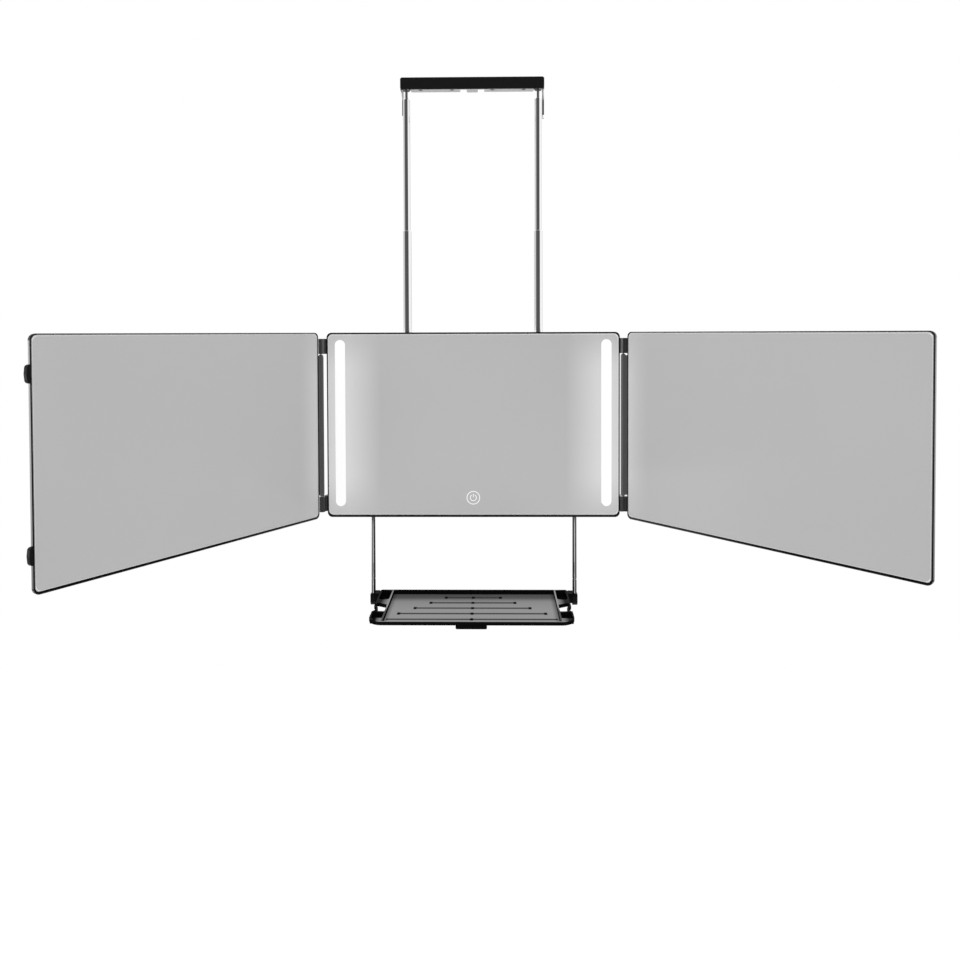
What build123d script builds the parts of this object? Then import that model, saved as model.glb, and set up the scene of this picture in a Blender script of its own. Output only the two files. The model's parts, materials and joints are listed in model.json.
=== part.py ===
from build123d import *

import os
from math import cos, radians, sin

# Trifold vanity mirror that hangs over a door: a hook bar, two telescopic rods, a lit centre panel,
# two wings on vertical hinges, and a folding tray on two sliding rods.
# Millimetres. +X to the mirror's right as seen from the front, +Y to the back, +Z up.
# The origin is the middle of the face that rests on the door's top, in the plane of the rods.

# ---------------------------------------------------------------- clearances and common sizes
SLIP = 0.3              # gap between pieces that move past each other
RUN = 0.05              # radial gap of a running fit
SEAT = 0.1              # gap round a piece that is let into another
SCREW_R = 1.1           # self-tapping screw, shank
SCREW_HEAD_R = 2.1
SCREW_HEAD = 1.2

# ---------------------------------------------------------------- hook
BAR_LENGTH = 142.6
BAR_DEPTH = 5.0
BAR_LIFT = 0.2          # bar's underside above the door's top; the rest plate touches the door
BAR_HEIGHT = 11.8
BAR_CORNER = 2.0        # corners as seen from the front
BAR_EDGE = 0.5          # bevel along the bar's front edges
PLATE_LENGTH = 122.0    # rest plate under the bar
PLATE_THICK = 1.2
PLATE_REACH = 8.2       # how far the plate reaches back from the rods' plane
PLATE_LIP = 1.1         # front lip of the bar that hides the plate's edge
TONGUE_WIDTH = 11.0
TONGUE_EXTRA = 1.6      # the middle tongue reaches this much further back
NOTCH_WIDTH = 6.5
PLATE_SCREWS = ((-51.0, 0.7), (-20.0, 0.7), (20.0, 0.7), (51.0, 0.7))
ARM_THICK = 1.5
ARM_HEIGHT = 8.0
ARM_INSET = 1.8         # arm's middle to the bar's end, inside the bar
ARM_SPLAY = 2.8         # how far an arm spreads outwards on its way back
ARM_SLOT_DEPTH = 3.4    # length of arm let into the bar
FOOT_THICK = 1.2        # flange bent off the arm's lower edge, under the bar's end
DOOR_GAP = 25.0         # thickest door that the hook takes
LEG_WIDTH = 9.5
LEG_DROP = 19.5         # leg below the door's top
LEG_CORNER = 5.0

# ---------------------------------------------------------------- telescopic rods
ROD_X = 65.2            # rods left and right of the middle
STUD_R = 1.3
COLLAR_R = 3.4          # flat collar that seats the stud under the bar
COLLAR_DROP = 1.1
STUD_SHOWN = 9.0
STUD_GRIP = 8.0         # stud inside the hook bar
STUD_SEAT = 4.0         # stud inside the upper rod
UPPER_R = 3.5
UPPER_WALL = 0.5
UPPER_SHOWN = 130.3
UPPER_HIDDEN = 25.0
MIDDLE_R = 4.2
MIDDLE_WALL = 0.4
MIDDLE_SHOWN = 101.0
MIDDLE_LENGTH = 160.0
BASE_WALL = 0.45
BASE_LENGTH = 176.0
MOUTH = 3.0             # length of a tube's crimped mouth
SLEEVE_LENGTH = 11.0
ROD_CAP = 6.0           # solid end of a rod

# ---------------------------------------------------------------- mirror panels
PANEL_WIDTH = 290.0
PANEL_HEIGHT = 183.5
PANEL_CORNER = 4.8
WING_DROP = 0.4         # a wing's lower edge below the centre panel's
CENTRE_RIM = (1.0, 1.3, 2.0)    # rim that shows beside, above and below the glass
WING_RIM = (0.9, 0.7, 1.5)
GLASS_CORNER = 5.0
RIM_PROUD = 0.3         # rim in front of the glass
RIM_EDGE = 0.4          # bevel along a panel's front edges
GLASS = 2.0
GLASS_BEVEL = 0.8
TAPE = 0.5
TAPE_INSET = 9.0
CENTRE_FRONT = 8.5      # centre panel's front, ahead of the rods' plane
CENTRE_BACK = 7.5       # centre panel's back, behind the rods' plane
FRAME_DEPTH = 6.0       # front frame, front to parting line
FRAME_SHELF = 1.2
CENTRE_WALL = 2.0
CENTRE_BACK_ROUND = 3.0
TONGUE_WALL = 0.8       # tongue of the housing inside the frame's skirt
TONGUE_RISE = 1.0
RIB = 1.6
RIB_FROM_TOP = 26.0
RIB_FROM_BOTTOM = 46.0
RIB_BELOW_MIDDLE = 18.0
BOSS_R = 2.8
BOSS_X = 24.0           # screw bosses beside the panel's middle
BOSS_FROM_SIDE = 25.0
BOSS_FROM_EDGE = 6.5
WING_DEPTH = 4.0
WING_BACK_ROUND = 1.8

# ---------------------------------------------------------------- light strips and electronics
STRIP_INSET = 13.2      # strip's middle to the panel's side
STRIP_WIDTH = 10.0
STRIP_SHORTER = 18.2    # strip shorter than the panel is high
STRIP_RISE = 1.85       # strips sit a little above the panel's middle
LED_BOARD = 1.0
LED_BOARD_WIDTH = 8.0
LED_COUNT = 16
LED_SIZE = 2.8
LED_RISE = 0.9
TOUCH_RISE = 19.3       # touch field above the panel's lower edge
TOUCH_SIZE = 22.0
TOUCH_BOARD = 1.0
BOARD_WIDTH = 28.0
BOARD_HEIGHT = 30.0
BOARD_THICK = 1.6
BOARD_X = 44.0
BOARD_CHIPS = ((-7, 18, 7, 7, 1.0), (3, 20, 5, 5, 1.6), (9, 22, 4, 3, 1.2))  # place, size and height
SOCKET_WIDTH = 9.0
SOCKET_HEIGHT = 3.2
SOCKET_LENGTH = 7.4
SOCKET_WALL = 0.35
BATTERY_WIDTH = 90.0
BATTERY_HEIGHT = 50.0
BATTERY_THICK = 6.0
BATTERY_X = -8.0
BATTERY_RISE = 22.0     # battery's middle above the panel's middle

# ---------------------------------------------------------------- wing hinges
BRACKET_INSET = 6.0     # bracket to the panel's upper or lower edge
BRACKET_HEIGHT = 15.0
BRACKET_FOOT = 1.2      # thickness of the bracket's foot on the panel's side
BRACKET_TENON = 5.0
PIN_R = 0.8
PIN_IN_BAR = 7.0
WEB_THICK = 1.5
WEB_END = 1.6           # the web stops this far before the bar's ends
CLIP_REACH = 3.4
CLIP_HEIGHT = 13.4
CLIP_DEPTH = 4.4
CLIP_NOSE = 1.2         # nose of a clip, ahead of the wing's glass side
CLIP_ROUND = 2.6        # corners of a clip, seen from the front
CLIP_SWELL = 5.0        # radius of the swell between those corners
CLIP_NOSE_OUT = 1.9     # where the nose starts, outside the wing's edge
CLIP_FROM_TOP = 28.2
CLIP_FROM_BOTTOM = 27.8

# Each wing's hinge: its axis outside the centre panel's side and ahead of its front, how far the wing's
# glass side lies ahead of that axis, gap from axis to wing, angle that the wing stands forward at rest,
# radius of the hinge bar and of the barrel round the pin, and beads beside the barrel, each with its
# place outside and behind the axis and its radius.
# The left wing closes over the right one, so its axis lies one wing further forward.
HINGES = {
    "left": {"out": 5.0, "ahead": 3.43, "offset": -1.17, "edge": 1.94, "angle": 59.0,
             "bar": 2.6, "barrel": 2.3, "beads": ((-1.7, 0.43, 1.5),)},
    "right": {"out": 3.3, "ahead": 0.44, "offset": 0.14, "edge": 5.04, "angle": 50.7,
              "bar": 2.5, "barrel": 1.7, "beads": ((-1.5, 0.0, 2.1), (2.5, 0.0, 1.9))},
}
SIDES = {"left": -1, "right": 1}

# ---------------------------------------------------------------- tray
TRAY_WIDTH = 185.5
TRAY_DEPTH = 94.4
TRAY_HEIGHT = 3.5
TRAY_FLOOR = 1.3
TRAY_WALL = 1.5
TRAY_FRONT_CORNER = 12.5
TRAY_BACK_CORNER = 2.5
TRAY_BEHIND = 4.0       # tray's rear edge ahead of the rods' plane
TRAY_ROD_ASIDE = 8.25   # rods' centres outside the tray's ends
TRAY_ROD_R = 2.15
TRAY_ROD_SHOWN = 78.3
TRAY_ROD_HIDDEN = 62.0
TRAY_GUIDE_LENGTH = 142.0
TRAY_GUIDE_WALL = 0.7
DETENT_ABOVE_LUG = 14.0
DETENT_DEPTH = 0.35
DETENT_WIDTH = 1.2
SPIGOT_R = 1.4
SPIGOT_LENGTH = 4.5
LUG_THICK = 5.0
LUG_HEIGHT = 11.8
LUG_WIDTH = 9.0
LUG_EDGE = 0.5
LUG_BORE_DROP = 6.6     # pivot below the lug's top
TRAY_RISE = 11.0        # tray's rim above the pivot
PIVOT_R = 1.5
EAR_THICK = 4.4
EAR_R = 3.6
EAR_LENGTH = 11.0
DIVIDER = 1.4
TOOL_ZONE = 12.35       # from the tray's end to the middle of the divider beside its floor
CUP_WALL = 1.0
REAR_CUP = (1.6, 32.3)  # from and to, measured from the tray's rear edge
REAR_CUP_DEPTH = 4.6
TOOL_HOLE = (40.5, 65.2)
TOOL_HOLE_SKEW = 6.0    # the hole's rear edge runs forward by this much towards the tray's middle
FRONT_CUP = (67.0, 84.5)
FRONT_CUP_DEPTH = 3.9
NOTCH_FROM_BACK = 58.0  # shallow round notch in the tray's side
NOTCH_R = 12.0
NOTCH_DEPTH = 3.0
GROOVE_WIDTH = 1.4
GROOVE_DEPTH = 0.6
GROOVE_FIRST = 19.0
GROOVE_STEP = 15.6
GROOVE_HALF_FIRST = 26.5
GROOVE_HALF_STEP = 13.8
GROOVE_COUNT = 5
DRAIN_R = 1.3
TAB_WIDTH = 28.0
TAB_DROP = 3.4
TAB_THICK = 2.2

# ---------------------------------------------------------------- levels worked out from the above
UPPER_TOP = -STUD_SHOWN
MIDDLE_TOP = UPPER_TOP - UPPER_SHOWN
UPPER_FOOT = MIDDLE_TOP - UPPER_HIDDEN
MIDDLE_FOOT = MIDDLE_TOP - MIDDLE_LENGTH
PANEL_TOP = MIDDLE_TOP - MIDDLE_SHOWN
PANEL_BOTTOM = PANEL_TOP - PANEL_HEIGHT
PANEL_MIDDLE = (PANEL_TOP + PANEL_BOTTOM) / 2
WING_BOTTOM = PANEL_BOTTOM - WING_DROP
LUG_TOP = PANEL_BOTTOM - TRAY_ROD_SHOWN
TRAY_ROD_X = TRAY_WIDTH / 2 + TRAY_ROD_ASIDE
DIVIDER_X = TRAY_WIDTH / 2 - TOOL_ZONE
PIVOT_Z = LUG_TOP - LUG_BORE_DROP
TRAY_TOP = PIVOT_Z + TRAY_RISE
TRAY_BACK_Y = -TRAY_BEHIND
TRAY_FRONT_Y = TRAY_BACK_Y - TRAY_DEPTH
FRONT_Y = -CENTRE_FRONT
GLASS_FRONT_Y = FRONT_Y + RIM_PROUD
GLASS_BACK_Y = GLASS_FRONT_Y + GLASS
SHELF_FRONT_Y = GLASS_BACK_Y + TAPE
SHELF_BACK_Y = SHELF_FRONT_Y + FRAME_SHELF
PARTING_Y = FRONT_Y + FRAME_DEPTH
INNER_BACK_Y = CENTRE_BACK - CENTRE_WALL
MIDDLE_BORE_R = MIDDLE_R - MIDDLE_WALL
BASE_BORE_R = MIDDLE_R + RUN + SLIP - SEAT
BASE_R = BASE_BORE_R + BASE_WALL
GUIDE_BORE_R = TRAY_ROD_R + SLIP
GUIDE_R = GUIDE_BORE_R + TRAY_GUIDE_WALL
STRIP_X = PANEL_WIDTH / 2 - STRIP_INSET
STRIP_LENGTH = PANEL_HEIGHT - STRIP_SHORTER
STRIP_Z = PANEL_MIDDLE + STRIP_RISE
TOUCH_Z = PANEL_BOTTOM + TOUCH_RISE
LEG_FRONT_Y = CENTRE_BACK + DOOR_GAP
SCREW_PLACES = [(x * side, z) for side in (-1, 1) for x in (BOSS_X, PANEL_WIDTH / 2 - BOSS_FROM_SIDE)
                for z in (PANEL_TOP - BOSS_FROM_EDGE, PANEL_BOTTOM + BOSS_FROM_EDGE)]


# ---------------------------------------------------------------- small helpers
def block(low, high):
    """A box between its lowest and its highest corner."""
    size = [b - a for a, b in zip(low, high)]
    middle = [(a + b) / 2 for a, b in zip(low, high)]
    return Pos(*middle) * Box(*size)


def rod(radius, low, high, x=0.0, y=0.0):
    """An upright round bar."""
    return Pos(x, y, (low + high) / 2) * Cylinder(radius, high - low)


def cross_rod(radius, low, high, y, z):
    """A round bar along X."""
    return Pos((low + high) / 2, y, z) * Rot(0, 90, 0) * Cylinder(radius, high - low)


def depth_rod(radius, front, back, x, z):
    """A round bar along Y."""
    return Pos(x, (front + back) / 2, z) * Rot(90, 0, 0) * Cylinder(radius, back - front)


def panel_plate(width, height, corner, front, back, x=0.0, z=PANEL_MIDDLE):
    """A plate with rounded corners, upright, from the front plane to the back plane."""
    outline = Plane.XZ * Pos(x, z) * RectangleRounded(width, height, corner)
    return Pos(0, front, 0) * extrude(outline, amount=front - back)


def strip_slot(x, width, length, front, back):
    """An upright strip with fully round ends."""
    outline = Plane.XZ * Pos(x, STRIP_Z) * Rot(0, 0, 90) * SlotOverall(length, width)
    return Pos(0, front, 0) * extrude(outline, amount=front - back)


def inside_rim(rim, low, margin, front, back, x=0.0):
    """A plate that fills the opening inside a rim, less a margin; low is the panel's lower edge."""
    beside, above, below = rim
    width = PANEL_WIDTH - 2 * (beside + margin)
    height = PANEL_TOP - above - low - below - 2 * margin
    middle = (PANEL_TOP - above + low + below) / 2
    return panel_plate(width, height, GLASS_CORNER - margin, front, back, x, middle)


def mirrored(shape):
    """The same shape on the other side of the middle plane."""
    return mirror(shape, about=Plane.YZ)


def on_side(shape, side):
    """A shape made for the right, put on the side asked for."""
    return shape if side == "right" else mirrored(shape)


# ---------------------------------------------------------------- hook
def arm_middle(y):
    """Distance of an arm's middle plane from the mirror's middle, at depth y."""
    start = BAR_DEPTH / 2 - ARM_SLOT_DEPTH
    share = min(max((y - start) / (LEG_FRONT_Y - start), 0.0), 1.0)
    return BAR_LENGTH / 2 - ARM_INSET + share * ARM_SPLAY


def hook_arm():
    """One flat steel arm on edge: back over the door, then down behind it as a leg."""
    front = BAR_DEPTH / 2 - ARM_SLOT_DEPTH
    back = LEG_FRONT_Y + LEG_WIDTH
    stations = [front, LEG_FRONT_Y, back]
    inner = [(arm_middle(y) - ARM_THICK / 2, y) for y in stations]
    outer = [(arm_middle(y) + ARM_THICK / 2, y) for y in reversed(stations)]
    plan = make_face(Polyline(*inner, *outer, close=True))
    strip = Pos(0, 0, -LEG_DROP) * extrude(plan, amount=LEG_DROP + ARM_HEIGHT)
    side = Pos((front + back) / 2, ARM_HEIGHT / 2) * Rectangle(back - front, ARM_HEIGHT)
    leg_middle = LEG_FRONT_Y + LEG_WIDTH / 2
    side += Pos(leg_middle, (ARM_HEIGHT - LEG_DROP) / 2) * Rectangle(LEG_WIDTH, ARM_HEIGHT + LEG_DROP)
    side = fillet(side.vertices().sort_by_distance((back, ARM_HEIGHT))[0], LEG_CORNER)
    tips = side.vertices().group_by(Axis.Y)[0]
    side = fillet(tips, LEG_WIDTH * 0.4)
    profile = Plane.YZ * side
    arm = strip & extrude(profile, amount=BAR_LENGTH)
    outer = BAR_LENGTH / 2 - 0.1
    foot = block((BAR_LENGTH / 2 - ARM_INSET, -BAR_DEPTH / 2 + PLATE_LIP + SEAT, 0),
                 (outer, PLATE_REACH, FOOT_THICK))
    return arm + fillet(foot.edges().filter_by(Axis.Z).group_by(Axis.Y)[-1], 0.8)


def rest_plate():
    """Flat plate under the bar that rests on the door's top, with a tongue between two notches."""
    front = -BAR_DEPTH / 2 + PLATE_LIP + SEAT
    plate = block((-PLATE_LENGTH / 2, front, 0), (PLATE_LENGTH / 2, PLATE_REACH, PLATE_THICK))
    corners = plate.edges().filter_by(Axis.Z).group_by(Axis.Y)[-1]
    plate = fillet(corners, 1.5)
    tongue_back = PLATE_REACH + TONGUE_EXTRA
    tongue = block((-TONGUE_WIDTH / 2, front, 0), (TONGUE_WIDTH / 2, tongue_back, PLATE_THICK))
    tongue = fillet(tongue.edges().filter_by(Axis.Z).group_by(Axis.Y)[-1], 1.5)
    for side in (-1, 1):
        middle = side * (TONGUE_WIDTH + NOTCH_WIDTH) / 2
        half = NOTCH_WIDTH / 2
        plate -= block((middle - half, front + 1.2, -1), (middle + half, PLATE_REACH + 1, PLATE_THICK + 1))
    plate += tongue
    for x, y in PLATE_SCREWS:
        plate -= rod(SCREW_R, -1, PLATE_THICK + 1, x, y)
        plate -= Pos(x, y, PLATE_THICK / 2) * Cone(SCREW_HEAD_R, SCREW_R, PLATE_THICK)
    return plate


def hook_bar():
    """The black bar: studs screw into its underside and the arms are let into its ends."""
    top = BAR_LIFT + BAR_HEIGHT
    bar = panel_plate(BAR_LENGTH, BAR_HEIGHT, BAR_CORNER, -BAR_DEPTH / 2, BAR_DEPTH / 2,
                      z=top - BAR_HEIGHT / 2)
    bar = chamfer(bar.faces().sort_by(Axis.Y)[0].edges(), BAR_EDGE)
    lip = -BAR_DEPTH / 2 + PLATE_LIP
    half = PLATE_LENGTH / 2 + SEAT
    bar -= block((-half, lip, -1), (half, BAR_DEPTH, PLATE_THICK))
    for side in (-1, 1):
        middle = side * (BAR_LENGTH / 2 - ARM_INSET)
        wide = ARM_THICK / 2 + SEAT + ARM_SPLAY * 0.1
        slot_front = BAR_DEPTH / 2 - ARM_SLOT_DEPTH - SEAT
        bar -= block((middle - wide, slot_front, -1), (middle + wide, BAR_DEPTH, ARM_HEIGHT + SEAT))
        end = side * BAR_LENGTH
        bar -= block((min(middle, end), lip, -1), (max(middle, end), BAR_DEPTH, FOOT_THICK))
        bar -= rod(STUD_R, -1, STUD_GRIP, side * ROD_X)
    for x, y in PLATE_SCREWS:
        bar -= rod(SCREW_R, 0, 7.0, x, y)
    return bar


def hook_screws():
    """Four countersunk screws through the rest plate."""
    screws = []
    for x, y in PLATE_SCREWS:
        head = Pos(x, y, PLATE_THICK / 2) * Cone(SCREW_HEAD_R, SCREW_R, PLATE_THICK)
        screws.append(head + rod(SCREW_R, PLATE_THICK, 6.5, x, y))
    return Compound(children=screws)


# ---------------------------------------------------------------- telescopic rods
def rod_stud(x):
    """Thin steel stud between the hook bar and the upper rod, with its collar."""
    return rod(STUD_R, UPPER_TOP - STUD_SEAT, STUD_GRIP, x) + rod(COLLAR_R, -COLLAR_DROP, BAR_LIFT, x)


def upper_rod(x):
    """Thin upper section, closed at its top round the stud."""
    tube = rod(UPPER_R, UPPER_FOOT, UPPER_TOP, x)
    tube = chamfer(tube.edges().sort_by(Axis.Z)[-1], 0.7)
    tube -= rod(UPPER_R - UPPER_WALL, UPPER_FOOT - 1, UPPER_TOP - ROD_CAP, x)
    return tube - rod(STUD_R, UPPER_TOP - STUD_SEAT, UPPER_TOP + 1, x)


def sleeve(x, low, inner, bore):
    """Split friction sleeve on the lower end of a section; it slides in the next tube's bore."""
    ring = rod(bore - RUN, low, low + SLEEVE_LENGTH, x) - rod(inner, low - 1, low + SLEEVE_LENGTH + 1, x)
    split = block((x - 0.4, inner - 1, low - 1), (x + 0.4, bore + 1, low + SLEEVE_LENGTH + 1))
    return ring - split


def section_tube(x, low, high, radius, bore, inner_rod):
    """A tube whose mouth is crimped to guide the thinner section inside it."""
    tube = rod(radius, low, high, x)
    tube = chamfer(tube.edges().sort_by(Axis.Z)[-1], 0.35)
    tube -= rod(bore, low - 1, high - MOUTH, x)
    return tube - rod(inner_rod + RUN, high - MOUTH - 1, high + 1, x)


def middle_tube(x):
    """Thicker section between the upper rod and the centre panel."""
    return section_tube(x, MIDDLE_FOOT, MIDDLE_TOP, MIDDLE_R, MIDDLE_BORE_R, UPPER_R)


def base_tube(x):
    """Fixed tube inside the centre panel, closed by its floor."""
    high = PANEL_TOP - CENTRE_WALL - SEAT
    low = high - BASE_LENGTH
    tube = section_tube(x, low, high, BASE_R, BASE_BORE_R, MIDDLE_R)
    return tube + rod(BASE_R, low, low + BASE_WALL * 3, x)


# ---------------------------------------------------------------- centre panel
def glass_plate(rim, low, front, x_middle=0.0):
    """A bevelled mirror plate that fills a rim and whose front lies at the depth given."""
    plate = inside_rim(rim, low, SEAT, front, front + GLASS, x_middle)
    return chamfer(plate.faces().sort_by(Axis.Y)[0].edges(), GLASS_BEVEL * 0.6, GLASS_BEVEL)


def tape_sheet(front, x_middle=0.0):
    """Foam tape between a glass and the panel behind it."""
    return panel_plate(PANEL_WIDTH - 2 * TAPE_INSET, PANEL_HEIGHT - 2 * TAPE_INSET, 2.0,
                       front, front + TAPE, x_middle)


def touch_field(margin, front, back):
    """The square behind the touch mark."""
    half = TOUCH_SIZE / 2 + margin
    return block((-half, front, TOUCH_Z - half + 2), (half, back, TOUCH_Z + half - 2))


def centre_mirror():
    plate = glass_plate(CENTRE_RIM, PANEL_BOTTOM, GLASS_FRONT_Y)
    for side in (-1, 1):
        plate -= strip_slot(side * STRIP_X, STRIP_WIDTH + 2 * SEAT, STRIP_LENGTH + 2 * SEAT,
                            GLASS_FRONT_Y - 1, GLASS_BACK_Y + 1)
    return plate


def centre_tape():
    sheet = tape_sheet(GLASS_BACK_Y)
    for side in (-1, 1):
        sheet -= strip_slot(side * STRIP_X, STRIP_WIDTH + 2, STRIP_LENGTH + 2, FRONT_Y, SHELF_BACK_Y)
    return sheet - touch_field(1.0, FRONT_Y, SHELF_BACK_Y)


def light_strip(x):
    """Frosted strip, flush with the glass, that the LEDs shine through."""
    return strip_slot(x, STRIP_WIDTH, STRIP_LENGTH, GLASS_FRONT_Y, SHELF_FRONT_Y)


def led_board(x):
    """Narrow board behind a light strip with its row of LEDs."""
    half = LED_BOARD_WIDTH / 2
    low = STRIP_Z - STRIP_LENGTH / 2 + 3
    high = STRIP_Z + STRIP_LENGTH / 2 - 3
    board = block((x - half, SHELF_BACK_Y, low), (x + half, SHELF_BACK_Y + LED_BOARD, high))
    pitch = (high - low) / LED_COUNT
    for count in range(LED_COUNT):
        z = low + pitch * (count + 0.5)
        board += block((x - LED_SIZE / 2, SHELF_BACK_Y - LED_RISE, z - LED_SIZE / 2),
                       (x + LED_SIZE / 2, SHELF_BACK_Y, z + LED_SIZE / 2))
    return board


def rod_ways():
    """Room for the telescopic sections and the tray rods where they leave the centre panel."""
    ways = []
    for side in (-1, 1):
        ways.append(rod(MIDDLE_R + SLIP, PANEL_TOP - CENTRE_WALL - 1, PANEL_TOP + 1, side * ROD_X))
        ways.append(rod(TRAY_ROD_R + SLIP, PANEL_BOTTOM - 1, PANEL_BOTTOM + CENTRE_WALL + 1,
                        side * TRAY_ROD_X))
    return ways


def tenon_slots():
    """Slots in the centre panel's sides that take the hinge brackets' tenons."""
    slots = []
    for side in (-1, 1):
        for low, high in bracket_levels():
            inner = PANEL_WIDTH / 2 - BRACKET_TENON - SEAT
            outer = PANEL_WIDTH / 2 + 1
            slots.append(block((min(side * inner, side * outer), tenon_front() - SEAT, low + 2 - SEAT),
                               (max(side * inner, side * outer), tenon_back() + SEAT, high - 2 + SEAT)))
    return slots


def front_frame():
    """Frame round the centre glass: rim, shelf behind the glass, skirt and screw bosses."""
    frame = panel_plate(PANEL_WIDTH, PANEL_HEIGHT, PANEL_CORNER, FRONT_Y, PARTING_Y)
    frame = chamfer(frame.faces().sort_by(Axis.Y)[0].edges(), RIM_EDGE)
    frame -= inside_rim(CENTRE_RIM, PANEL_BOTTOM, 0.0, FRONT_Y - 1, SHELF_FRONT_Y)
    frame -= panel_plate(PANEL_WIDTH - 2 * CENTRE_WALL, PANEL_HEIGHT - 2 * CENTRE_WALL,
                         PANEL_CORNER - CENTRE_WALL, SHELF_BACK_Y, PARTING_Y + 1)
    for x, z in SCREW_PLACES:
        frame += depth_rod(BOSS_R, SHELF_FRONT_Y + 0.5, INNER_BACK_Y - SEAT, x, z)
    for x, z in SCREW_PLACES:
        frame -= depth_rod(SCREW_R, SHELF_BACK_Y + 0.5, INNER_BACK_Y + 1, x, z)
    for side in (-1, 1):
        frame -= strip_slot(side * STRIP_X, STRIP_WIDTH + 2 * SEAT, STRIP_LENGTH + 2 * SEAT,
                            SHELF_FRONT_Y - 1, SHELF_BACK_Y + 1)
        half = BASE_R + SLIP
        frame -= block((side * ROD_X - half, SHELF_FRONT_Y, PANEL_TOP - BASE_LENGTH - 3 * CENTRE_WALL),
                       (side * ROD_X + half, SHELF_BACK_Y + 1, PANEL_TOP - CENTRE_WALL))
    frame -= touch_field(2.0, SHELF_FRONT_Y - 0.2, SHELF_BACK_Y + 1)
    for way in rod_ways():
        frame -= way
    for slot in tenon_slots():
        frame -= slot
    return frame


def rear_housing():
    """Rear shell of the centre panel, with ribs that carry the tubes and the battery."""
    shell = panel_plate(PANEL_WIDTH, PANEL_HEIGHT, PANEL_CORNER, PARTING_Y, CENTRE_BACK)
    shell = fillet(shell.faces().sort_by(Axis.Y)[-1].edges(), CENTRE_BACK_ROUND)
    tongue_trim = 2 * (CENTRE_WALL + SEAT)
    shell += panel_plate(PANEL_WIDTH - tongue_trim, PANEL_HEIGHT - tongue_trim,
                         PANEL_CORNER - CENTRE_WALL - SEAT, PARTING_Y - TONGUE_RISE, PARTING_Y)
    hollow_trim = tongue_trim + 2 * TONGUE_WALL
    shell -= panel_plate(PANEL_WIDTH - hollow_trim, PANEL_HEIGHT - hollow_trim,
                         PANEL_CORNER - CENTRE_WALL - TONGUE_WALL,
                         PARTING_Y - TONGUE_RISE - 1, INNER_BACK_Y)
    half = (PANEL_WIDTH - hollow_trim) / 2 + 0.2
    for z in (PANEL_TOP - RIB_FROM_TOP, PANEL_MIDDLE - RIB_BELOW_MIDDLE, PANEL_BOTTOM + RIB_FROM_BOTTOM):
        shell += block((-half, PARTING_Y + 0.8, z - RIB / 2), (half, INNER_BACK_Y + 0.2, z + RIB / 2))
    for side in (-1, 1):
        shell -= rod(BASE_R + SEAT, PANEL_BOTTOM + CENTRE_WALL + 1, PANEL_TOP - CENTRE_WALL, side * ROD_X)
        shell -= rod(GUIDE_R + SEAT, PANEL_BOTTOM + CENTRE_WALL, PANEL_TOP - CENTRE_WALL - 2,
                     side * TRAY_ROD_X)
    shell -= battery_room(1.0)
    shell -= board_room(1.0)
    for x, z in SCREW_PLACES:
        shell -= depth_rod(BOSS_R + SEAT, PARTING_Y - 2, INNER_BACK_Y, x, z)
        shell -= depth_rod(SCREW_R + SEAT, INNER_BACK_Y - 1, CENTRE_BACK + 1, x, z)
        shell -= depth_rod(SCREW_HEAD_R + SEAT, CENTRE_BACK - SCREW_HEAD, CENTRE_BACK + 1, x, z)
    for way in rod_ways():
        shell -= way
    for slot in tenon_slots():
        shell -= slot
    return shell - socket_shape(SEAT, PANEL_BOTTOM - 1)


def housing_screws():
    """Screws from the back into the frame's bosses."""
    screws = []
    for x, z in SCREW_PLACES:
        head = depth_rod(SCREW_HEAD_R, CENTRE_BACK - SCREW_HEAD, CENTRE_BACK - 0.2, x, z)
        screws.append(head + depth_rod(SCREW_R, SHELF_BACK_Y + 1.5, CENTRE_BACK - SCREW_HEAD, x, z))
    return Compound(children=screws)


# ---------------------------------------------------------------- electronics
def touch_board():
    """Touch sensor stuck on the glass's back."""
    return touch_field(0.0, GLASS_BACK_Y, GLASS_BACK_Y + TOUCH_BOARD)


def battery_room(margin):
    z = PANEL_MIDDLE + BATTERY_RISE
    back = INNER_BACK_Y
    wide, tall = BATTERY_WIDTH / 2 + margin, BATTERY_HEIGHT / 2 + margin
    return block((BATTERY_X - wide, back - BATTERY_THICK - margin, z - tall),
                 (BATTERY_X + wide, back, z + tall))


def battery():
    """Flat rechargeable cell in its pouch, glued to the back wall."""
    cell = battery_room(0.0)
    cell = fillet(cell.edges().filter_by(Axis.Z), 2.2)
    return cell


def board_room(margin):
    low = PANEL_BOTTOM + CENTRE_WALL + 1.2
    wide = BOARD_WIDTH / 2 + margin
    back = INNER_BACK_Y - 1.0
    return block((BOARD_X - wide, back - BOARD_THICK - margin * 3, low - margin),
                 (BOARD_X + wide, back + margin * 0.9, low + BOARD_HEIGHT + margin))


def control_board():
    """Charging and dimming board with its larger components."""
    board = board_room(0.0)
    face = INNER_BACK_Y - 1.0 - BOARD_THICK
    low = PANEL_BOTTOM + CENTRE_WALL + 1.2
    for x, z, wide, tall, rise in BOARD_CHIPS:
        board += block((BOARD_X + x - wide / 2, face - rise, low + z - tall / 2),
                       (BOARD_X + x + wide / 2, face, low + z + tall / 2))
    return board


def socket_shape(margin, low):
    """The USB-C socket's outline, drawn out from the panel's lower edge."""
    middle = INNER_BACK_Y - 1.0 - BOARD_THICK - SOCKET_HEIGHT / 2
    height = SOCKET_HEIGHT + 2 * margin
    outline = Pos(BOARD_X, middle) * SlotOverall(SOCKET_WIDTH + 2 * margin, height)
    return Pos(0, 0, low) * extrude(outline, amount=PANEL_BOTTOM + 0.4 + SOCKET_LENGTH + margin - low)


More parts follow.
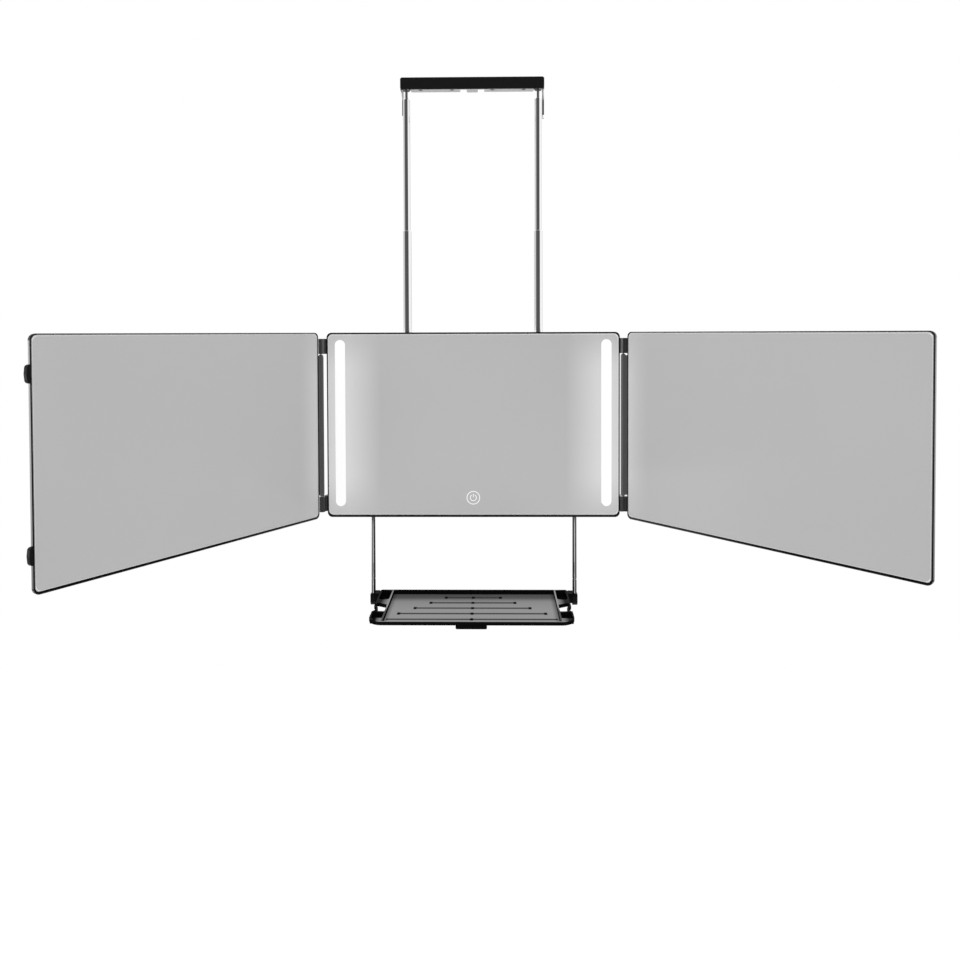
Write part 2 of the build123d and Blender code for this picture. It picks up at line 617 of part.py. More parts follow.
def usb_socket():
    """Metal shell of the USB-C socket with its contact tongue."""
    middle = INNER_BACK_Y - 1.0 - BOARD_THICK - SOCKET_HEIGHT / 2
    low = PANEL_BOTTOM + 0.4
    shell = socket_shape(0.0, low)
    walls = 2 * SOCKET_WALL
    hollow = Pos(BOARD_X, middle) * SlotOverall(SOCKET_WIDTH - walls, SOCKET_HEIGHT - walls)
    shell -= Pos(0, 0, low - 1) * extrude(hollow, amount=SOCKET_LENGTH - 0.4)
    tongue = block((BOARD_X - 3.2, middle - 0.35, low + 1.2),
                   (BOARD_X + 3.2, middle + 0.35, low + SOCKET_LENGTH))
    return shell + tongue


# ---------------------------------------------------------------- wing hinges
def bracket_levels():
    """Lowest and highest level of the lower and of the upper hinge bracket."""
    low = PANEL_BOTTOM + BRACKET_INSET
    high = PANEL_TOP - BRACKET_INSET
    return [(low, low + BRACKET_HEIGHT), (high - BRACKET_HEIGHT, high)]


def tenon_front():
    return PARTING_Y + 0.8


def tenon_back():
    return PARTING_Y + 4.8


def hinge_axis(side):
    """The hinge's place in plan, for a wing drawn on the right."""
    hinge = HINGES[side]
    return PANEL_WIDTH / 2 + hinge["out"], FRONT_Y - hinge["ahead"]


def closed_reach(side):
    """How far a wing, folded shut, reaches past the mirror's middle on the other side."""
    return HINGES[side]["edge"] + PANEL_WIDTH / 2 - HINGES[side]["out"]


def hinge_brackets(side):
    """Upper and lower bracket: a foot on the panel's side and an arm to the barrel round the pin."""
    hinge = HINGES[side]
    axis_x, axis_y = hinge_axis(side)
    edge = PANEL_WIDTH / 2
    foot = Rectangle(BRACKET_FOOT, tenon_back() - FRONT_Y - 1, align=(Align.MIN, Align.MAX))
    foot = Pos(edge, tenon_back()) * foot
    barrel = Pos(axis_x, axis_y) * Circle(hinge["barrel"])
    arm = make_hull(barrel.edges() + foot.edges())
    for out, back, radius in hinge["beads"]:
        arm += Pos(axis_x + out, axis_y + back) * Circle(radius)
    inside = Rectangle(edge, PANEL_HEIGHT, align=(Align.MIN, Align.CENTER))
    arm -= inside
    other = "left" if side == "right" else "right"
    relief = Rectangle(closed_reach(other) + SLIP, PANEL_HEIGHT, align=(Align.MIN, Align.MAX))
    arm -= Pos(0, FRONT_Y) * relief
    arm -= Pos(axis_x, axis_y) * Circle(PIN_R)
    pair = []
    for low, high in bracket_levels():
        body = Pos(0, 0, low) * extrude(arm, amount=high - low)
        body += block((edge - BRACKET_TENON, tenon_front(), low + 2), (edge + 0.6, tenon_back(), high - 2))
        pair.append(on_side(body, side))
    return Compound(children=pair)


def hinge_pins(side):
    """Steel pins pressed into the brackets; their free ends carry the hinge bar."""
    axis_x, axis_y = hinge_axis(side)
    (low_a, high_a), (low_b, high_b) = bracket_levels()
    lower = rod(PIN_R, low_a + 1, high_a + PIN_IN_BAR, axis_x, axis_y)
    upper = rod(PIN_R, low_b - PIN_IN_BAR, high_b - 1, axis_x, axis_y)
    return Compound(children=[on_side(lower, side), on_side(upper, side)])


def put_wing(shape, side):
    """Puts a shape drawn flat, with the hinge axis at its origin and +X outwards, on its hinge."""
    axis_x, axis_y = hinge_axis(side)
    return on_side(Pos(axis_x, axis_y, 0) * Rot(0, 0, -HINGES[side]["angle"]) * shape, side)


def wing_front(side):
    """Depth of a wing's front in the wing's own frame."""
    return -HINGES[side]["offset"]


def wing_middle(side):
    return HINGES[side]["edge"] + PANEL_WIDTH / 2


def wing_shell(side):
    """Thin tray-shaped shell that holds a wing's glass."""
    front = wing_front(side)
    shell = panel_plate(PANEL_WIDTH, PANEL_TOP - WING_BOTTOM, PANEL_CORNER,
                        front, front + WING_DEPTH, wing_middle(side), (PANEL_TOP + WING_BOTTOM) / 2)
    shell = fillet(shell.faces().sort_by(Axis.Y)[-1].edges(), WING_BACK_ROUND)
    shell = chamfer(shell.faces().sort_by(Axis.Y)[0].edges(), RIM_EDGE)
    shell -= inside_rim(WING_RIM, WING_BOTTOM, 0.0,
                        front - 1, front + RIM_PROUD + GLASS + TAPE, wing_middle(side))
    return put_wing(shell, side)


def wing_mirror(side):
    front = wing_front(side) + RIM_PROUD
    return put_wing(glass_plate(WING_RIM, WING_BOTTOM, front, wing_middle(side)), side)


def wing_tape(side):
    return put_wing(tape_sheet(wing_front(side) + RIM_PROUD + GLASS, wing_middle(side)), side)


def hinge_bar(side):
    """Round bar with domed ends on a wing's inner edge, joined to the shell by a faired web."""
    edge = HINGES[side]["edge"]
    radius = HINGES[side]["bar"]
    front = wing_front(side)
    (_, low), (high, _) = bracket_levels()
    low, high = low + SLIP, high - SLIP
    bar = rod(radius, low + radius, high - radius)
    for z in (low + radius, high - radius):
        bar += Pos(0, 0, z) * Sphere(radius)
    patch = Pos(edge - 0.05, front + 0.6 + WEB_THICK / 2) * Rectangle(0.1, WEB_THICK)
    fairing = make_hull(Circle(radius - 0.2).edges() + patch.edges())
    bar += Pos(0, 0, low + WEB_END) * extrude(fairing, amount=high - low - 2 * WEB_END)
    bar -= block((edge, front, low), (edge + radius, front + WING_DEPTH, high))
    for start, stop in ((low - 1, low + PIN_IN_BAR + 1), (high - PIN_IN_BAR - 1, high + 1)):
        bar -= rod(PIN_R + RUN, start, stop)
    return put_wing(bar, side)


def clip_curves(edge, z):
    """The circles whose hull is a clip's outline: its two corners and the swell between them."""
    curves = (Pos(edge + CLIP_REACH - CLIP_SWELL, z) * Circle(CLIP_SWELL)).edges()
    for rise in (CLIP_ROUND - CLIP_HEIGHT / 2, CLIP_HEIGHT / 2 - CLIP_ROUND):
        curves += (Pos(edge + 0.4, z + rise) * Circle(CLIP_ROUND)).edges()
    return curves


def closing_clips():
    """Two rounded clips on the left wing's outer edge; closed, they seat on the right hinge's bar."""
    edge = HINGES["left"]["edge"] + PANEL_WIDTH
    front = wing_front("left")
    nose = front - CLIP_NOSE
    clips = []
    for z in (PANEL_TOP - CLIP_FROM_TOP, PANEL_BOTTOM + CLIP_FROM_BOTTOM):
        outline = make_hull(clip_curves(edge, z))
        outline &= Pos(edge + CLIP_REACH / 2, z) * Rectangle(CLIP_REACH, CLIP_HEIGHT)
        clip = Pos(0, nose, 0) * extrude(Plane.XZ * outline, amount=-CLIP_DEPTH)
        clip -= block((edge - 1, nose - 1, z - CLIP_HEIGHT), (edge + CLIP_NOSE_OUT, front, z + CLIP_HEIGHT))
        rim = clip.faces().sort_by(Axis.Y)[-1].edges().sort_by(Axis.X)[1:]
        clip = fillet(rim, 1.1)
        clips.append(put_wing(clip, "left"))
    return Compound(children=clips)


# ---------------------------------------------------------------- tray and its slide
def tray_rod(x):
    """Thin chrome rod with a detent groove, turned down where it enters its lug."""
    bar = rod(TRAY_ROD_R, LUG_TOP, PANEL_BOTTOM + TRAY_ROD_HIDDEN, x)
    bar = chamfer(bar.edges().sort_by(Axis.Z)[-1], 0.4)
    bar += rod(SPIGOT_R, LUG_TOP - SPIGOT_LENGTH, LUG_TOP, x)
    groove = LUG_TOP + DETENT_ABOVE_LUG
    ring = rod(TRAY_ROD_R + 1, groove, groove + DETENT_WIDTH, x)
    ring -= rod(TRAY_ROD_R - DETENT_DEPTH, groove - 1, groove + DETENT_WIDTH + 1, x)
    return bar - ring


def tray_guide(x):
    """Tube inside the centre panel that guides a tray rod."""
    low = PANEL_BOTTOM + CENTRE_WALL + SEAT
    tube = rod(GUIDE_R, low, low + TRAY_GUIDE_LENGTH, x)
    tube -= rod(GUIDE_BORE_R, low + MOUTH, low + TRAY_GUIDE_LENGTH + 1, x)
    return tube - rod(TRAY_ROD_R + RUN, low - 1, low + MOUTH + 1, x)


def tray_rod_bushes():
    """Friction bushes on the upper ends of the tray rods."""
    high = PANEL_BOTTOM + TRAY_ROD_HIDDEN - 1.0
    bushes = []
    for side in (-1, 1):
        ring = rod(GUIDE_BORE_R - RUN, high - 8.0, high, side * TRAY_ROD_X)
        bushes.append(ring - rod(TRAY_ROD_R, high - 9.0, high + 1.0, side * TRAY_ROD_X))
    return Compound(children=bushes)


def lug_span():
    """Inner and outer face of a lug."""
    middle = TRAY_ROD_X + 0.2
    return middle - LUG_THICK / 2, middle + LUG_THICK / 2


def rod_lug(side):
    """Flat lug on a tray rod's end, round at its foot, with the tray's pivot bore."""
    inner, outer = lug_span()
    low = LUG_TOP - LUG_HEIGHT
    lug = block((inner, -LUG_WIDTH / 2, low), (outer, LUG_WIDTH / 2, LUG_TOP))
    lug = fillet(lug.edges().filter_by(Axis.X).group_by(Axis.Z)[0], LUG_WIDTH / 2 - 0.05)
    lug = fillet(lug.edges().filter_by(Axis.X).group_by(Axis.Z)[-1], 1.6)
    lug = chamfer(lug.faces().sort_by(Axis.X)[-1].edges(), LUG_EDGE)
    lug -= cross_rod(PIVOT_R, inner - 1, outer - 0.8, 0, PIVOT_Z)
    lug -= rod(SPIGOT_R, LUG_TOP - SPIGOT_LENGTH, LUG_TOP + 1, TRAY_ROD_X)
    return on_side(lug, side)


def tray_pivot_pins():
    """Pins pressed into the lugs; the tray's ears turn on them."""
    inner, outer = lug_span()
    pin = cross_rod(PIVOT_R, inner - SLIP - EAR_THICK + 0.6, outer - 0.8, 0, PIVOT_Z)
    return Compound(children=[on_side(pin, side) for side in SIDES])


def tray_ear(side):
    """Ear that drops from the tray's rear corner to the pivot."""
    inner, _ = lug_span()
    outer_face = inner - SLIP
    top = TRAY_TOP - 0.6
    disc = Pos(0, PIVOT_Z) * Circle(EAR_R)
    patch_y = TRAY_BACK_Y - EAR_LENGTH / 2
    patch = Pos(patch_y, top - 1.6) * Rectangle(EAR_LENGTH, 3.2)
    profile = make_hull(disc.edges() + patch.edges())
    hollow_y = TRAY_BACK_Y - EAR_LENGTH
    profile -= Pos(hollow_y - 1.0, PIVOT_Z - 0.4) * Circle(EAR_R + 2.2)
    ear = Pos(outer_face - EAR_THICK, 0, 0) * extrude(Plane.YZ * profile, amount=EAR_THICK)
    bridge = block((TRAY_WIDTH / 2 - 2, TRAY_BACK_Y - EAR_LENGTH, TRAY_TOP - TRAY_HEIGHT),
                   (outer_face - 1.0, TRAY_BACK_Y - TRAY_BACK_CORNER + 1.2, top))
    ear += bridge
    ear -= cross_rod(PIVOT_R + RUN, outer_face - EAR_THICK - 1, outer_face + 1, 0, PIVOT_Z)
    return on_side(ear, side)


def from_back(distance):
    """Depth of a place measured from the tray's rear edge."""
    return TRAY_BACK_Y - distance


def end_span():
    """Inner and outer limit of the tool zone at a tray end."""
    return DIVIDER_X + DIVIDER / 2, TRAY_WIDTH / 2 - TRAY_WALL


def notch_circle(extra):
    """The round notch in a tray side, made larger by the amount given."""
    centre_x = TRAY_WIDTH / 2 - NOTCH_DEPTH + NOTCH_R
    return Pos(centre_x, from_back(NOTCH_FROM_BACK)) * Circle(NOTCH_R + extra)


def rear_cup_outline():
    """Deep rear cup with a round front end."""
    inner, outer = end_span()
    near, far = from_back(REAR_CUP[0]), from_back(REAR_CUP[1])
    radius = (outer - inner) / 2
    middle = (inner + outer) / 2
    straight = Pos(middle, (near + far + radius) / 2) * Rectangle(2 * radius, near - far - radius)
    return straight + Pos(middle, far + radius) * Circle(radius)


def tool_hole_outline():
    """Hole through the tray with a slanting rear edge, kept clear of the side notch."""
    inner, outer = end_span()
    near, far = from_back(TOOL_HOLE[0]), from_back(TOOL_HOLE[1])
    corners = [(inner, near - TOOL_HOLE_SKEW), (outer, near), (outer, far), (inner, far)]
    outline = make_face(Polyline(*corners, close=True))
    return fillet((outline - notch_circle(TRAY_WALL)).vertices(), 1.4)


def front_cup_outline():
    """Cup beside the front corner, following the tray's rounded outline."""
    inner, outer = end_span()
    near, far = from_back(FRONT_CUP[0]), from_back(FRONT_CUP[1])
    outline = Pos((inner + outer) / 2, (near + far) / 2) * Rectangle(outer - inner, near - far)
    outline -= notch_circle(TRAY_WALL)
    reach = TRAY_FRONT_CORNER - TRAY_WALL
    rounded = Pos(0, TRAY_FRONT_Y + TRAY_DEPTH / 2) * RectangleRounded(
        TRAY_WIDTH - 2 * TRAY_WALL, TRAY_DEPTH - 2 * TRAY_WALL, reach)
    return outline & rounded


def cup_body(outline, depth):
    """Outside of a cup that hangs below the tray's floor."""
    return Pos(0, 0, TRAY_TOP - depth - CUP_WALL) * extrude(offset(outline, CUP_WALL), amount=depth)


def cut_down(outline, depth):
    """The space taken out of the tray, from above its rim down to the depth given."""
    return Pos(0, 0, TRAY_TOP - depth) * extrude(outline, amount=depth + 5)


def tray():
    """Shallow tray: grooved floor with drain holes, cups and tool holes at both ends, and a front tab."""
    half = TRAY_WIDTH / 2
    body = block((-half, TRAY_FRONT_Y, TRAY_TOP - TRAY_HEIGHT), (half, TRAY_BACK_Y, TRAY_TOP))
    body = fillet(body.edges().filter_by(Axis.Z).group_by(Axis.Y)[0], TRAY_FRONT_CORNER)
    body = fillet(body.edges().filter_by(Axis.Z).group_by(Axis.Y)[-1], TRAY_BACK_CORNER)
    body = chamfer(body.faces().sort_by(Axis.Z)[0].edges(), 0.6)
    floor_top = TRAY_TOP - TRAY_HEIGHT + TRAY_FLOOR
    well_half = DIVIDER_X - DIVIDER / 2
    well = block((-well_half, TRAY_FRONT_Y + TRAY_WALL, floor_top),
                 (well_half, TRAY_BACK_Y - TRAY_WALL, TRAY_TOP + 1))
    body -= fillet(well.edges().filter_by(Axis.Z), 1.2)
    for side in SIDES:
        body += on_side(cup_body(rear_cup_outline(), REAR_CUP_DEPTH), side)
        body += on_side(cup_body(front_cup_outline(), FRONT_CUP_DEPTH), side)
    for side in SIDES:
        body -= on_side(cut_down(rear_cup_outline(), REAR_CUP_DEPTH), side)
        body -= on_side(cut_down(front_cup_outline(), FRONT_CUP_DEPTH), side)
        body -= on_side(cut_down(tool_hole_outline(), 20.0), side)
        body -= on_side(cut_down(notch_circle(0.0), 20.0), side)
        body += tray_ear(side)
    for index in range(GROOVE_COUNT):
        y = from_back(GROOVE_FIRST + index * GROOVE_STEP)
        reach = min(GROOVE_HALF_FIRST + index * GROOVE_HALF_STEP, well_half - 3.0)
        groove = extrude(SlotOverall(2 * reach, GROOVE_WIDTH), amount=GROOVE_DEPTH)
        body -= Pos(0, y, floor_top - GROOVE_DEPTH) * groove
        for x in (-reach, 0.0, reach):
            body -= rod(DRAIN_R, TRAY_TOP - TRAY_HEIGHT - 1, floor_top + 1, x, y)
    tab = block((-TAB_WIDTH / 2, TRAY_FRONT_Y + 0.6, TRAY_TOP - TRAY_HEIGHT - TAB_DROP),
                (TAB_WIDTH / 2, TRAY_FRONT_Y + 0.6 + TAB_THICK, TRAY_TOP - TRAY_HEIGHT + 0.5))
    return body + fillet(tab.edges().filter_by(Axis.Y).group_by(Axis.Z)[0], 1.2)


# ---------------------------------------------------------------- one file per piece
def all_nodes():
    nodes = {
        "hook_bar": hook_bar(),
        "rest_plate": rest_plate(),
        "hook_screws": hook_screws(),
        "front_frame": front_frame(),
        "rear_housing": rear_housing(),
        "housing_screws": housing_screws(),
        "centre_mirror": centre_mirror(),
        "centre_tape": centre_tape(),
        "touch_board": touch_board(),
        "control_board": control_board(),
        "usb_socket": usb_socket(),
        "battery": battery(),
        "closing_clips": closing_clips(),
        "tray_rod_bushes": tray_rod_bushes(),
        "tray_pivot_pins": tray_pivot_pins(),
        "tray": tray(),
    }
    for side, sign in SIDES.items():
        nodes["hook_arm_" + side] = on_side(hook_arm(), side)
        nodes["rod_stud_" + side] = rod_stud(sign * ROD_X)
        nodes["upper_rod_" + side] = upper_rod(sign * ROD_X)
        nodes["upper_sleeve_" + side] = sleeve(sign * ROD_X, UPPER_FOOT, UPPER_R, MIDDLE_BORE_R)
        nodes["middle_tube_" + side] = middle_tube(sign * ROD_X)
        nodes["middle_sleeve_" + side] = sleeve(sign * ROD_X, MIDDLE_FOOT, MIDDLE_R, BASE_BORE_R)
        nodes["base_tube_" + side] = base_tube(sign * ROD_X)
        nodes["light_strip_" + side] = light_strip(sign * STRIP_X)
        nodes["led_board_" + side] = led_board(sign * STRIP_X)
        nodes["hinge_brackets_" + side] = hinge_brackets(side)
        nodes["hinge_pins_" + side] = hinge_pins(side)
        nodes["wing_shell_" + side] = wing_shell(side)
        nodes["wing_mirror_" + side] = wing_mirror(side)
        nodes["wing_tape_" + side] = wing_tape(side)
        nodes["hinge_bar_" + side] = hinge_bar(side)
        nodes["tray_guide_" + side] = tray_guide(sign * TRAY_ROD_X)
        nodes["tray_rod_" + side] = tray_rod(sign * TRAY_ROD_X)
        nodes["rod_lug_" + side] = rod_lug(side)
    return nodes


os.makedirs("parts", exist_ok=True)
for name, shape in all_nodes().items():
    export_step(shape, "parts/" + name + ".step")
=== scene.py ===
import json
from math import cos, pi, radians, sin

import bpy
from mathutils import Matrix, Vector


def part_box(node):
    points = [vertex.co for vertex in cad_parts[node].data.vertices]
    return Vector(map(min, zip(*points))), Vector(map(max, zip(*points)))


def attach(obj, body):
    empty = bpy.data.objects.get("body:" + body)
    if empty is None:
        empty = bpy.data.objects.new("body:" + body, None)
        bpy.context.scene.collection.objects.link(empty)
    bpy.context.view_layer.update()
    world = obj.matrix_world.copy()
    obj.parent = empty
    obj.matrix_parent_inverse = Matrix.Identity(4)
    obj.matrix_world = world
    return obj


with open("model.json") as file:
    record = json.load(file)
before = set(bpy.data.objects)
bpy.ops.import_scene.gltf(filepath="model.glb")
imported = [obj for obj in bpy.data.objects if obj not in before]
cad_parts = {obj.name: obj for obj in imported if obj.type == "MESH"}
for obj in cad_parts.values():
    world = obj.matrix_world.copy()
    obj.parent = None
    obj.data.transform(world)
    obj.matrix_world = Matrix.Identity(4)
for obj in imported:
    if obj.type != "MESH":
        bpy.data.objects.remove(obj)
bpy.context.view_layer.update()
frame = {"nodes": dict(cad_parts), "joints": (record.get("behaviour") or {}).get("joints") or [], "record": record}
bpy.ops.object.select_all(action="DESELECT")

NODES = frame["nodes"]
MM = 0.001
OUTWARDS = {"left": -1.0, "right": 1.0}    # along X
WHITE = (1.0, 1.0, 1.0)


# ---------------------------------------------------------------- nodes
def feed(tree, socket, value):
    """Gives a socket a value, a colour of three numbers or another node's output."""
    if isinstance(value, bpy.types.NodeSocket):
        tree.links.new(value, socket)
    elif socket.type == "RGBA":
        socket.default_value = (*value, 1.0)
    else:
        socket.default_value = value


def add(tree, kind, **inputs):
    """A node with its inputs, under their names."""
    node = tree.nodes.new(kind)
    for key, value in inputs.items():
        feed(tree, node.inputs[key.replace("_", " ")], value)
    return node


def sums(tree, operation, *values):
    """One step of arithmetic."""
    node = tree.nodes.new("ShaderNodeMath")
    node.operation = operation
    for socket, value in zip(node.inputs, values):
        feed(tree, socket, value)
    return node.outputs[0]


def ramp(tree, value, low, high, start=0.0, end=1.0, smooth=False):
    """Maps a value from one range to another and stops at its ends."""
    node = add(tree, "ShaderNodeMapRange", Value=value, From_Min=low, From_Max=high,
               To_Min=start, To_Max=end)
    if smooth:
        node.interpolation_type = "SMOOTHSTEP"
    return node.outputs[0]


def graded(tree, value, stops, unit=1.0):
    """Grey along a value; a colour ramp stops at one, so it is scaled by its largest grey."""
    first, last = stops[0][0], stops[-1][0]
    largest = max(grey for _, grey in stops)
    node = add(tree, "ShaderNodeValToRGB", Fac=ramp(tree, value, first * unit, last * unit))
    points = node.color_ramp.elements
    while len(points) < len(stops):
        points.new(0.5)
    for point, (place, grey) in zip(points, stops):
        point.position = (place - first) / (last - first)
        point.color = (grey / largest,) * 3 + (1.0,)
    return sums(tree, "MULTIPLY", node.outputs[0], largest)


def blend(tree, share, first, second):
    """A colour between two others."""
    node = tree.nodes.new("ShaderNodeMix")
    node.data_type = "RGBA"
    for index, value in ((0, share), (6, first), (7, second)):
        feed(tree, node.inputs[index], value)
    return node.outputs[2]


def join_shaders(tree, kind, *values):
    """The output of a node that adds or mixes shaders."""
    node = tree.nodes.new(kind)
    for socket, value in zip(node.inputs, values):
        feed(tree, socket, value)
    return node.outputs[0]


def own_vector(tree, kind="Object"):
    """The piece's own coordinates, in metres, or its normal."""
    return add(tree, "ShaderNodeTexCoord").outputs[kind]


def turned_back(tree, kind, turn, middle=(0.0, 0.0, 0.0)):
    """The coordinates or the normal of a turned piece, in the piece's own plane."""
    node = add(tree, "ShaderNodeMapping", Vector=own_vector(tree, kind), Location=middle,
               Rotation=(0.0, 0.0, turn))
    node.vector_type = "TEXTURE"
    return node.outputs[0]


def axes(tree, vector):
    """X, Y and Z of a vector."""
    return tuple(add(tree, "ShaderNodeSeparateXYZ", Vector=vector).outputs)


# ---------------------------------------------------------------- camera and studio
SENSOR = 36.0                      # in millimetres, like the lens
LENS = 31.737
EYE = Vector((21.03, -844.46, -240.88)) * MM
PITCH = radians(1.397)             # below the horizon
YAW = radians(0.859)               # towards the left
ROLL = radians(-0.183)
SHIFT_X = -0.0015
SHIFT_Y = -0.1318
CLIP_END = 50.0
FLOOR_DROP = 2.0                   # floor below the door's top
FLOOR_SIZE = 7.0
FLOOR_COLOUR = (0.8, 0.8, 0.8)
FLOOR_GLOW = 0.4                   # what the eye sees on top of the light that falls on the floor
SOFT_LIGHT = 0.84                  # even light from all sides, on matt surfaces
LAMP_TARGET = (0.0, -0.05, -0.33)
LAMPS = (                          # name, place, size and watts
    ("front_softbox", (0.3, -2.7, 0.5), 1.8, 22.0),
    ("side_softbox", (-2.3, -1.6, 0.8), 1.4, 9.0),
)

# Brightness of the studio round the object, as metal and gloss show it. Turns are from the front, in
# degrees and positive to the right, and heights are degrees above the camera's level.
WALL_ABOVE = (
    (-180, 0.0), (-167, 0.0), (-165, 0.8), (-110, 0.72), (-72, 0.6), (-58, 0.1), (36, 0.08),
    (47, 1.0), (132, 1.0), (146, 0.4), (158, 0.5), (166, 1.0), (180, 0.9),
)
FRONT_BELOW = ((-25, 0.05), (-18, 0.05), (-17.5, 0.62), (-12.6, 0.6), (-12.3, 0.05), (0, 0.04))
SIDES_BELOW = ((-25, 0.03), (-12, 0.04), (-10.5, 0.1), (-8.5, 0.6), (-5, 1.1), (0, 1.3))
FAR_BELOW = ((-25, 0.2), (-17, 0.6), (-12, 1.8), (-6, 2.6), (0, 2.9))
FAR_SHARE = (1.0, 0.6)             # of that, on the left and on the right
BACK_BELOW = 0.25
FRONT_HALF = (16, 24)              # the front ends between these turns, on both sides
FLANK = 0.06                       # between the front and the sides
SIDES_FROM = (66, 74)
FAR_FROM = (91, 95)
FAR_LATER = (-7, 8)                # degrees further round on the left and on the right
LEFT_TO_RIGHT = (-10, 10)          # turns over which the left's values become the right's
BACK_FROM = (120, 135)
BACK_HIGH = 1.6                    # light above the wall behind the object
BACK_HIGH_FROM = (140, 150)
BACK_HIGH_ABOVE = (16.6, 16.9)
LEVEL = (-0.05, 0.05)              # heights over which what is below becomes what is above


def aim_camera():
    """A camera at the height of the mirrors' upper edge, with a lowered frame."""
    data = bpy.data.cameras.new("camera")
    data.sensor_width = SENSOR
    data.lens = LENS
    data.shift_x = SHIFT_X
    data.shift_y = SHIFT_Y
    data.clip_end = CLIP_END
    forward = Vector((-sin(YAW) * cos(PITCH), cos(YAW) * cos(PITCH), -sin(PITCH)))
    level_right = Vector((cos(YAW), sin(YAW), 0.0))
    level_up = level_right.cross(forward)
    right = cos(ROLL) * level_right + sin(ROLL) * level_up
    up = cos(ROLL) * level_up - sin(ROLL) * level_right
    turned = Matrix((right, up, -forward)).transposed()
    camera = bpy.data.objects.new("camera", data)
    camera.matrix_world = Matrix.Translation(EYE) @ turned.to_4x4()
    bpy.context.scene.collection.objects.link(camera)
    bpy.context.scene.camera = camera


def seen_rays(tree):
    """One for rays from the camera, and one for rays in gloss or through glass; zero for light."""
    rays = add(tree, "ShaderNodeLightPath").outputs
    return rays["Is Camera Ray"], sums(tree, "ADD", rays["Is Glossy Ray"], rays["Is Transmission Ray"])


def step_between(tree, value, span, low, high):
    """One brightness up to the first angle of a span, another from the second, evenly between."""
    difference = sums(tree, "SUBTRACT", high, low)
    return sums(tree, "ADD", low, sums(tree, "MULTIPLY", difference, ramp(tree, value, *span)))


def studio_brightness(tree):
    """The studio that gloss shows: a dark card above the camera, and lights at both sides."""
    right, back, rise = axes(tree, own_vector(tree, "Generated"))
    ahead = sums(tree, "MULTIPLY", back, -1.0)
    turn = sums(tree, "DEGREES", sums(tree, "ARCTAN2", right, ahead))
    height = sums(tree, "DEGREES", sums(tree, "ARCSINE", rise))
    aside = sums(tree, "ABSOLUTE", turn)
    above = graded(tree, turn, WALL_ABOVE)
    below = step_between(tree, aside, FRONT_HALF, graded(tree, height, FRONT_BELOW), FLANK)
    below = step_between(tree, aside, SIDES_FROM, below, graded(tree, height, SIDES_BELOW))
    far = sums(tree, "MULTIPLY", graded(tree, height, FAR_BELOW),
               step_between(tree, turn, LEFT_TO_RIGHT, *FAR_SHARE))
    past = sums(tree, "SUBTRACT", aside, step_between(tree, turn, LEFT_TO_RIGHT, *FAR_LATER))
    below = step_between(tree, past, FAR_FROM, below, far)
    below = step_between(tree, aside, BACK_FROM, below, BACK_BELOW)
    lifted = step_between(tree, aside, BACK_HIGH_FROM, above, BACK_HIGH)
    above = step_between(tree, height, BACK_HIGH_ABOVE, above, lifted)
    return step_between(tree, height, LEVEL, below, above)


def make_world():
    """White behind everything, with a studio for gloss and an even soft light."""
    world = bpy.data.worlds.new("studio")
    bpy.context.scene.world = world
    world.use_nodes = True
    tree = world.node_tree
    tree.nodes.clear()
    soft, gloss, white = (
        add(tree, "ShaderNodeBackground", Color=WHITE, Strength=strength).outputs[0]
        for strength in (SOFT_LIGHT, studio_brightness(tree), 1.0))
    camera_ray, gloss_ray = seen_rays(tree)
    lit = join_shaders(tree, "ShaderNodeMixShader", gloss_ray, soft, gloss)
    seen = join_shaders(tree, "ShaderNodeMixShader", camera_ray, lit, white)
    add(tree, "ShaderNodeOutputWorld", Surface=seen)


def make_floor():
    """Pale floor a door's height below the hook, bright to the eye but still taking a shadow."""
    bpy.ops.mesh.primitive_plane_add(size=FLOOR_SIZE, location=(0, 0, -FLOOR_DROP))
    floor = bpy.context.object
    floor.name = "floor"
    material = bpy.data.materials.new("pale_floor")
    material.use_nodes = True
    tree = material.node_tree
    tree.nodes.clear()
    matte = add(tree, "ShaderNodeBsdfDiffuse", Color=FLOOR_COLOUR)
    seen = sums(tree, "ADD", *seen_rays(tree))
    glow = add(tree, "ShaderNodeEmission", Strength=sums(tree, "MULTIPLY", seen, FLOOR_GLOW))
    both = join_shaders(tree, "ShaderNodeAddShader", matte.outputs[0], glow.outputs[0])
    add(tree, "ShaderNodeOutputMaterial", Surface=both)
    floor.data.materials.append(material)


def softbox(name, place, size, watts):
    """A square soft lamp that gloss doesn't show."""
    data = bpy.data.lights.new(name, "AREA")
    data.energy = watts
    data.size = size
    lamp = bpy.data.objects.new(name, data)
    lamp.location = place
    aim = Vector(LAMP_TARGET) - Vector(place)
    lamp.rotation_euler = aim.to_track_quat("-Z", "Y").to_euler()
    lamp.visible_glossy = False
    bpy.context.scene.collection.objects.link(lamp)


# ---------------------------------------------------------------- kinds of material
ALONG_X = (0.02, 1.0, 1.0)         # stretch of a grain that runs along X
ALONG_Z = (1.0, 1.0, 0.02)
EVEN = (1.0, 1.0, 1.0)
FINE_SHARE = 0.6                   # of a grain, the rest being its wide clouds
CLOUD = 0.06                       # scale of the clouds, of the grain's
NOISE_SPAN = (0.3, 0.7)            # what a noise mostly gives
BUMP_STRENGTH = 0.35
PLASTIC_SPREAD = 0.05              # of the roughness, to both sides
METAL_GRAIN = 0.0004
METAL_BUMP = 0.000004
METAL_VARIATION = 0.04


def new_material(name, colour, roughness, metallic=0.0, specular=0.5):
    """A material with its main shader, ready for its grain."""
    material = bpy.data.materials.new(name)
    material.use_nodes = True
    shader = main_shader(material)
    feed(material.node_tree, shader.inputs["Base Color"], colour)
    shader.inputs["Roughness"].default_value = roughness
    shader.inputs["Metallic"].default_value = metallic
    shader.inputs["Specular IOR Level"].default_value = specular
    return material


